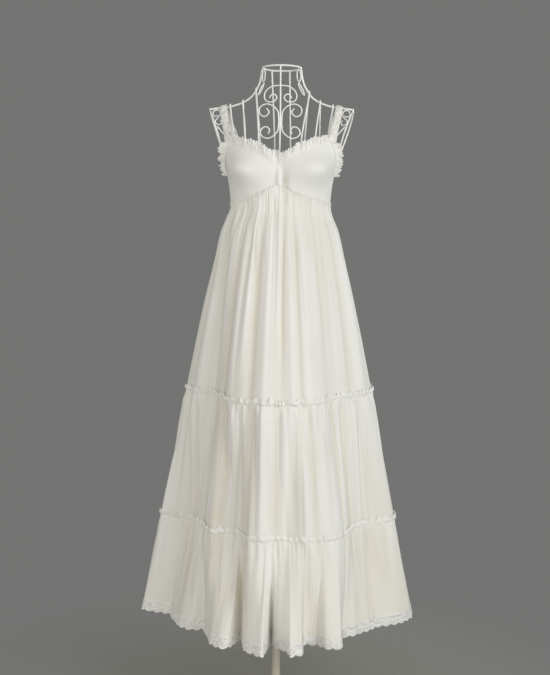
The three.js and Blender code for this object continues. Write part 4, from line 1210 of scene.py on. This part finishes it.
# %% Bend the ornaments
share = ARM_BRACE["ring_share"]
brace_top = in_plane(ARM_RING, math.sqrt(1 - share**2), share)
brace_foot = torso(64, ARM_BRACE["rib_z"])
brace_line = (brace_foot - brace_top) / np.linalg.norm(brace_foot - brace_top)
brace_top = brace_top + brace_line * ARM_BRACE["top_short"]
brace_foot = brace_foot - brace_line * ARM_BRACE["foot_short"]
brace_middle = (brace_top + brace_foot) / 2 - [0, 0, ARM_BRACE["sag"]]
for side, sign in SIGNS.items():
    wire(f"arm_ring_{side}", hoop_points(ARM_RING, 16), WIRE, 64, closed=True, sign=sign)
    for name, loop in NECK_LOOPS.items():
        wire(f"{name}_{side}", hoop_points(loop, 10), SCROLL_WIRE, 40, closed=True, sign=sign)
    wire(f"shoulder_scroll_{side}", SHOULDER_SCROLL, SCROLL_WIRE, 70, sign=sign)
    wire(f"arch_scroll_{side}", [on_chest(*p) for p in ARCH_SCROLL], SCROLL_WIRE, 80, sign=sign)
    wire(f"c_scroll_{side}", [on_chest(*p) for p in C_SCROLL], SCROLL_WIRE, 120, sign=sign)
    wire(f"arm_brace_{side}", [brace_top, brace_middle, brace_foot], SCROLL_WIRE, 20, sign=sign)

# %% [markdown]
# ## Pole and base
# A turned foot plate with a welded boss carries the pole. Both are spun from a profile, with the small
# radii that turning and coating leave on every edge. A cylinder with a bevel modifier would have one
# radius everywhere.

# %% Spin a profile
def turned(node, profile, segments=96):
    profile = np.array(profile, float)
    t = np.linspace(0, 2 * math.pi, segments, endpoint=False)
    radius, height = profile[:, :1], profile[:, 1:]
    rings = np.stack([radius * np.cos(t), radius * np.sin(t), height + 0 * t], axis=-1)
    index = np.arange(len(profile) * segments).reshape(-1, segments)
    piece = new_piece(node + "_body", rings, side_faces(index), cream_coat)
    piece.data.set_sharp_from_angle(angle=math.radians(35))
    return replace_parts(piece, node)


# %% Foot and pole
BASE_R, BASE_THICK, POLE_R, POLE_TOP = 150, 8, 11.4, 987.7
turned("base_plate", [
    (BASE_R - 1, 0), (BASE_R, 1), (BASE_R, BASE_THICK - 3.5), (BASE_R - 0.8, BASE_THICK - 1.6),
    (BASE_R - 2.4, BASE_THICK - 0.4), (BASE_R - 4.5, BASE_THICK), (26, BASE_THICK), (23.4, BASE_THICK + 0.5),
    (21.2, BASE_THICK + 2.2), (20.2, BASE_THICK + 5), (20, 15), (20, 38.4), (19.5, 39.6), (18.4, 40),
    (12.6, 40), (11.8, 39.4), (11.7, 38), (11.7, BASE_THICK), (0.01, BASE_THICK),
])
turned("pole", [
    (POLE_R - 0.6, BASE_THICK + 0.3), (POLE_R, BASE_THICK + 1),
    (POLE_R, POLE_TOP - 0.7), (POLE_R - 0.6, POLE_TOP),
], segments=48)
print("stand made, pole up to", POLE_TOP, "mm")

# %% Enamel on the head of the pole, which keeps its own shape
pole_head = bpy.data.objects["pole_head"]
pole_head.data.materials.clear()
pole_head.data.materials.append(white_enamel)
print("pole_head is finished in", white_enamel.name)

# %% [markdown]
# ## Floor and backdrop
# The object stands on a plain floor that runs away without an edge. Far off the floor takes the even
# grey of the air behind it, as a long roll of studio paper does. A curved backdrop would show from
# behind, so the floor fades into the air on every side.

# %% Floor
AIR = (0.172, 0.176, 0.170)
floor_mesh = bpy.data.meshes.new("floor")
floor_mesh.from_pydata([(-30, -30, 0), (30, -30, 0), (30, 30, 0), (-30, 30, 0)], [], [(0, 1, 2, 3)])
floor = bpy.data.objects.new("floor", floor_mesh)
bpy.context.scene.collection.objects.link(floor)
paper, nodes, links, surface = new_finish(
    "floor_paper", Roughness=0.9, Specular_IOR_Level=0.1, Base_Color=(0.30, 0.30, 0.285, 1))
glow = add_node(nodes, "Emission", Color=(*AIR, 1))
place = add_node(nodes, "TexCoord")
far = add_node(nodes, "VectorMath")
far.operation = "LENGTH"
links.new(place.outputs["Object"], far.inputs[0])
fade = add_node(nodes, "MapRange", From_Min=0.3, From_Max=1.1)  # metres from the middle of the foot
fade.interpolation_type = "SMOOTHSTEP"
links.new(far.outputs["Value"], fade.inputs["Value"])
mix = add_node(nodes, "MixShader")
links.new(fade.outputs["Result"], mix.inputs["Fac"])
links.new(surface.outputs["BSDF"], mix.inputs[1])
links.new(glow.outputs["Emission"], mix.inputs[2])
links.new(mix.outputs["Shader"], nodes["Material Output"].inputs["Surface"])
floor_mesh.materials.append(paper)

world = bpy.data.worlds.new("studio_air")
world.use_nodes = True
world.node_tree.nodes["Background"].inputs["Color"].default_value = (*AIR, 1)
bpy.context.scene.world = world
print("floor and air made, the floor fades over", round(1.1 - 0.3, 1), "m")

# %% [markdown]
# ## Light
# Four wide soft sources stand round the dress. The key is on the right, so each fold has a bright and a
# shaded flank. A weaker one on the left and one in front keep the shadows open, and one behind lights the
# back of the dress and the edges of the wires. Small lamps would draw hard lines on such thin cloth.

# %% Lights
def soft_light(name, at, aim, size, power, colour):
    light = bpy.data.lights.new(name, "AREA")
    light.shape = "RECTANGLE"
    light.size, light.size_y = size
    light.energy = power
    light.color = colour
    lamp = bpy.data.objects.new(name, light)
    lamp.location = at
    lamp.rotation_euler = (Vector(aim) - Vector(at)).to_track_quat("-Z", "Y").to_euler()
    lamp.visible_camera = False
    bpy.context.scene.collection.objects.link(lamp)
    print(name, "light,", power, "W")


WARM_WHITE = (1.0, 0.965, 0.90)
COOL_WHITE = (1.0, 1.0, 0.985)
soft_light("key", (2.9, -2.4, 1.9), (0, 0, 1.05), (2.6, 3.0), 90, COOL_WHITE)
soft_light("fill", (-3.1, -2.3, 1.7), (0, 0, 1.05), (3.0, 3.0), 51, WARM_WHITE)
soft_light("front", (0.2, -4.6, 1.3), (0, 0, 1.0), (3.0, 2.2), 42, WARM_WHITE)
soft_light("back", (1.2, 4.4, 2.0), (0, 0, 1.0), (3.0, 2.4), 105, WARM_WHITE)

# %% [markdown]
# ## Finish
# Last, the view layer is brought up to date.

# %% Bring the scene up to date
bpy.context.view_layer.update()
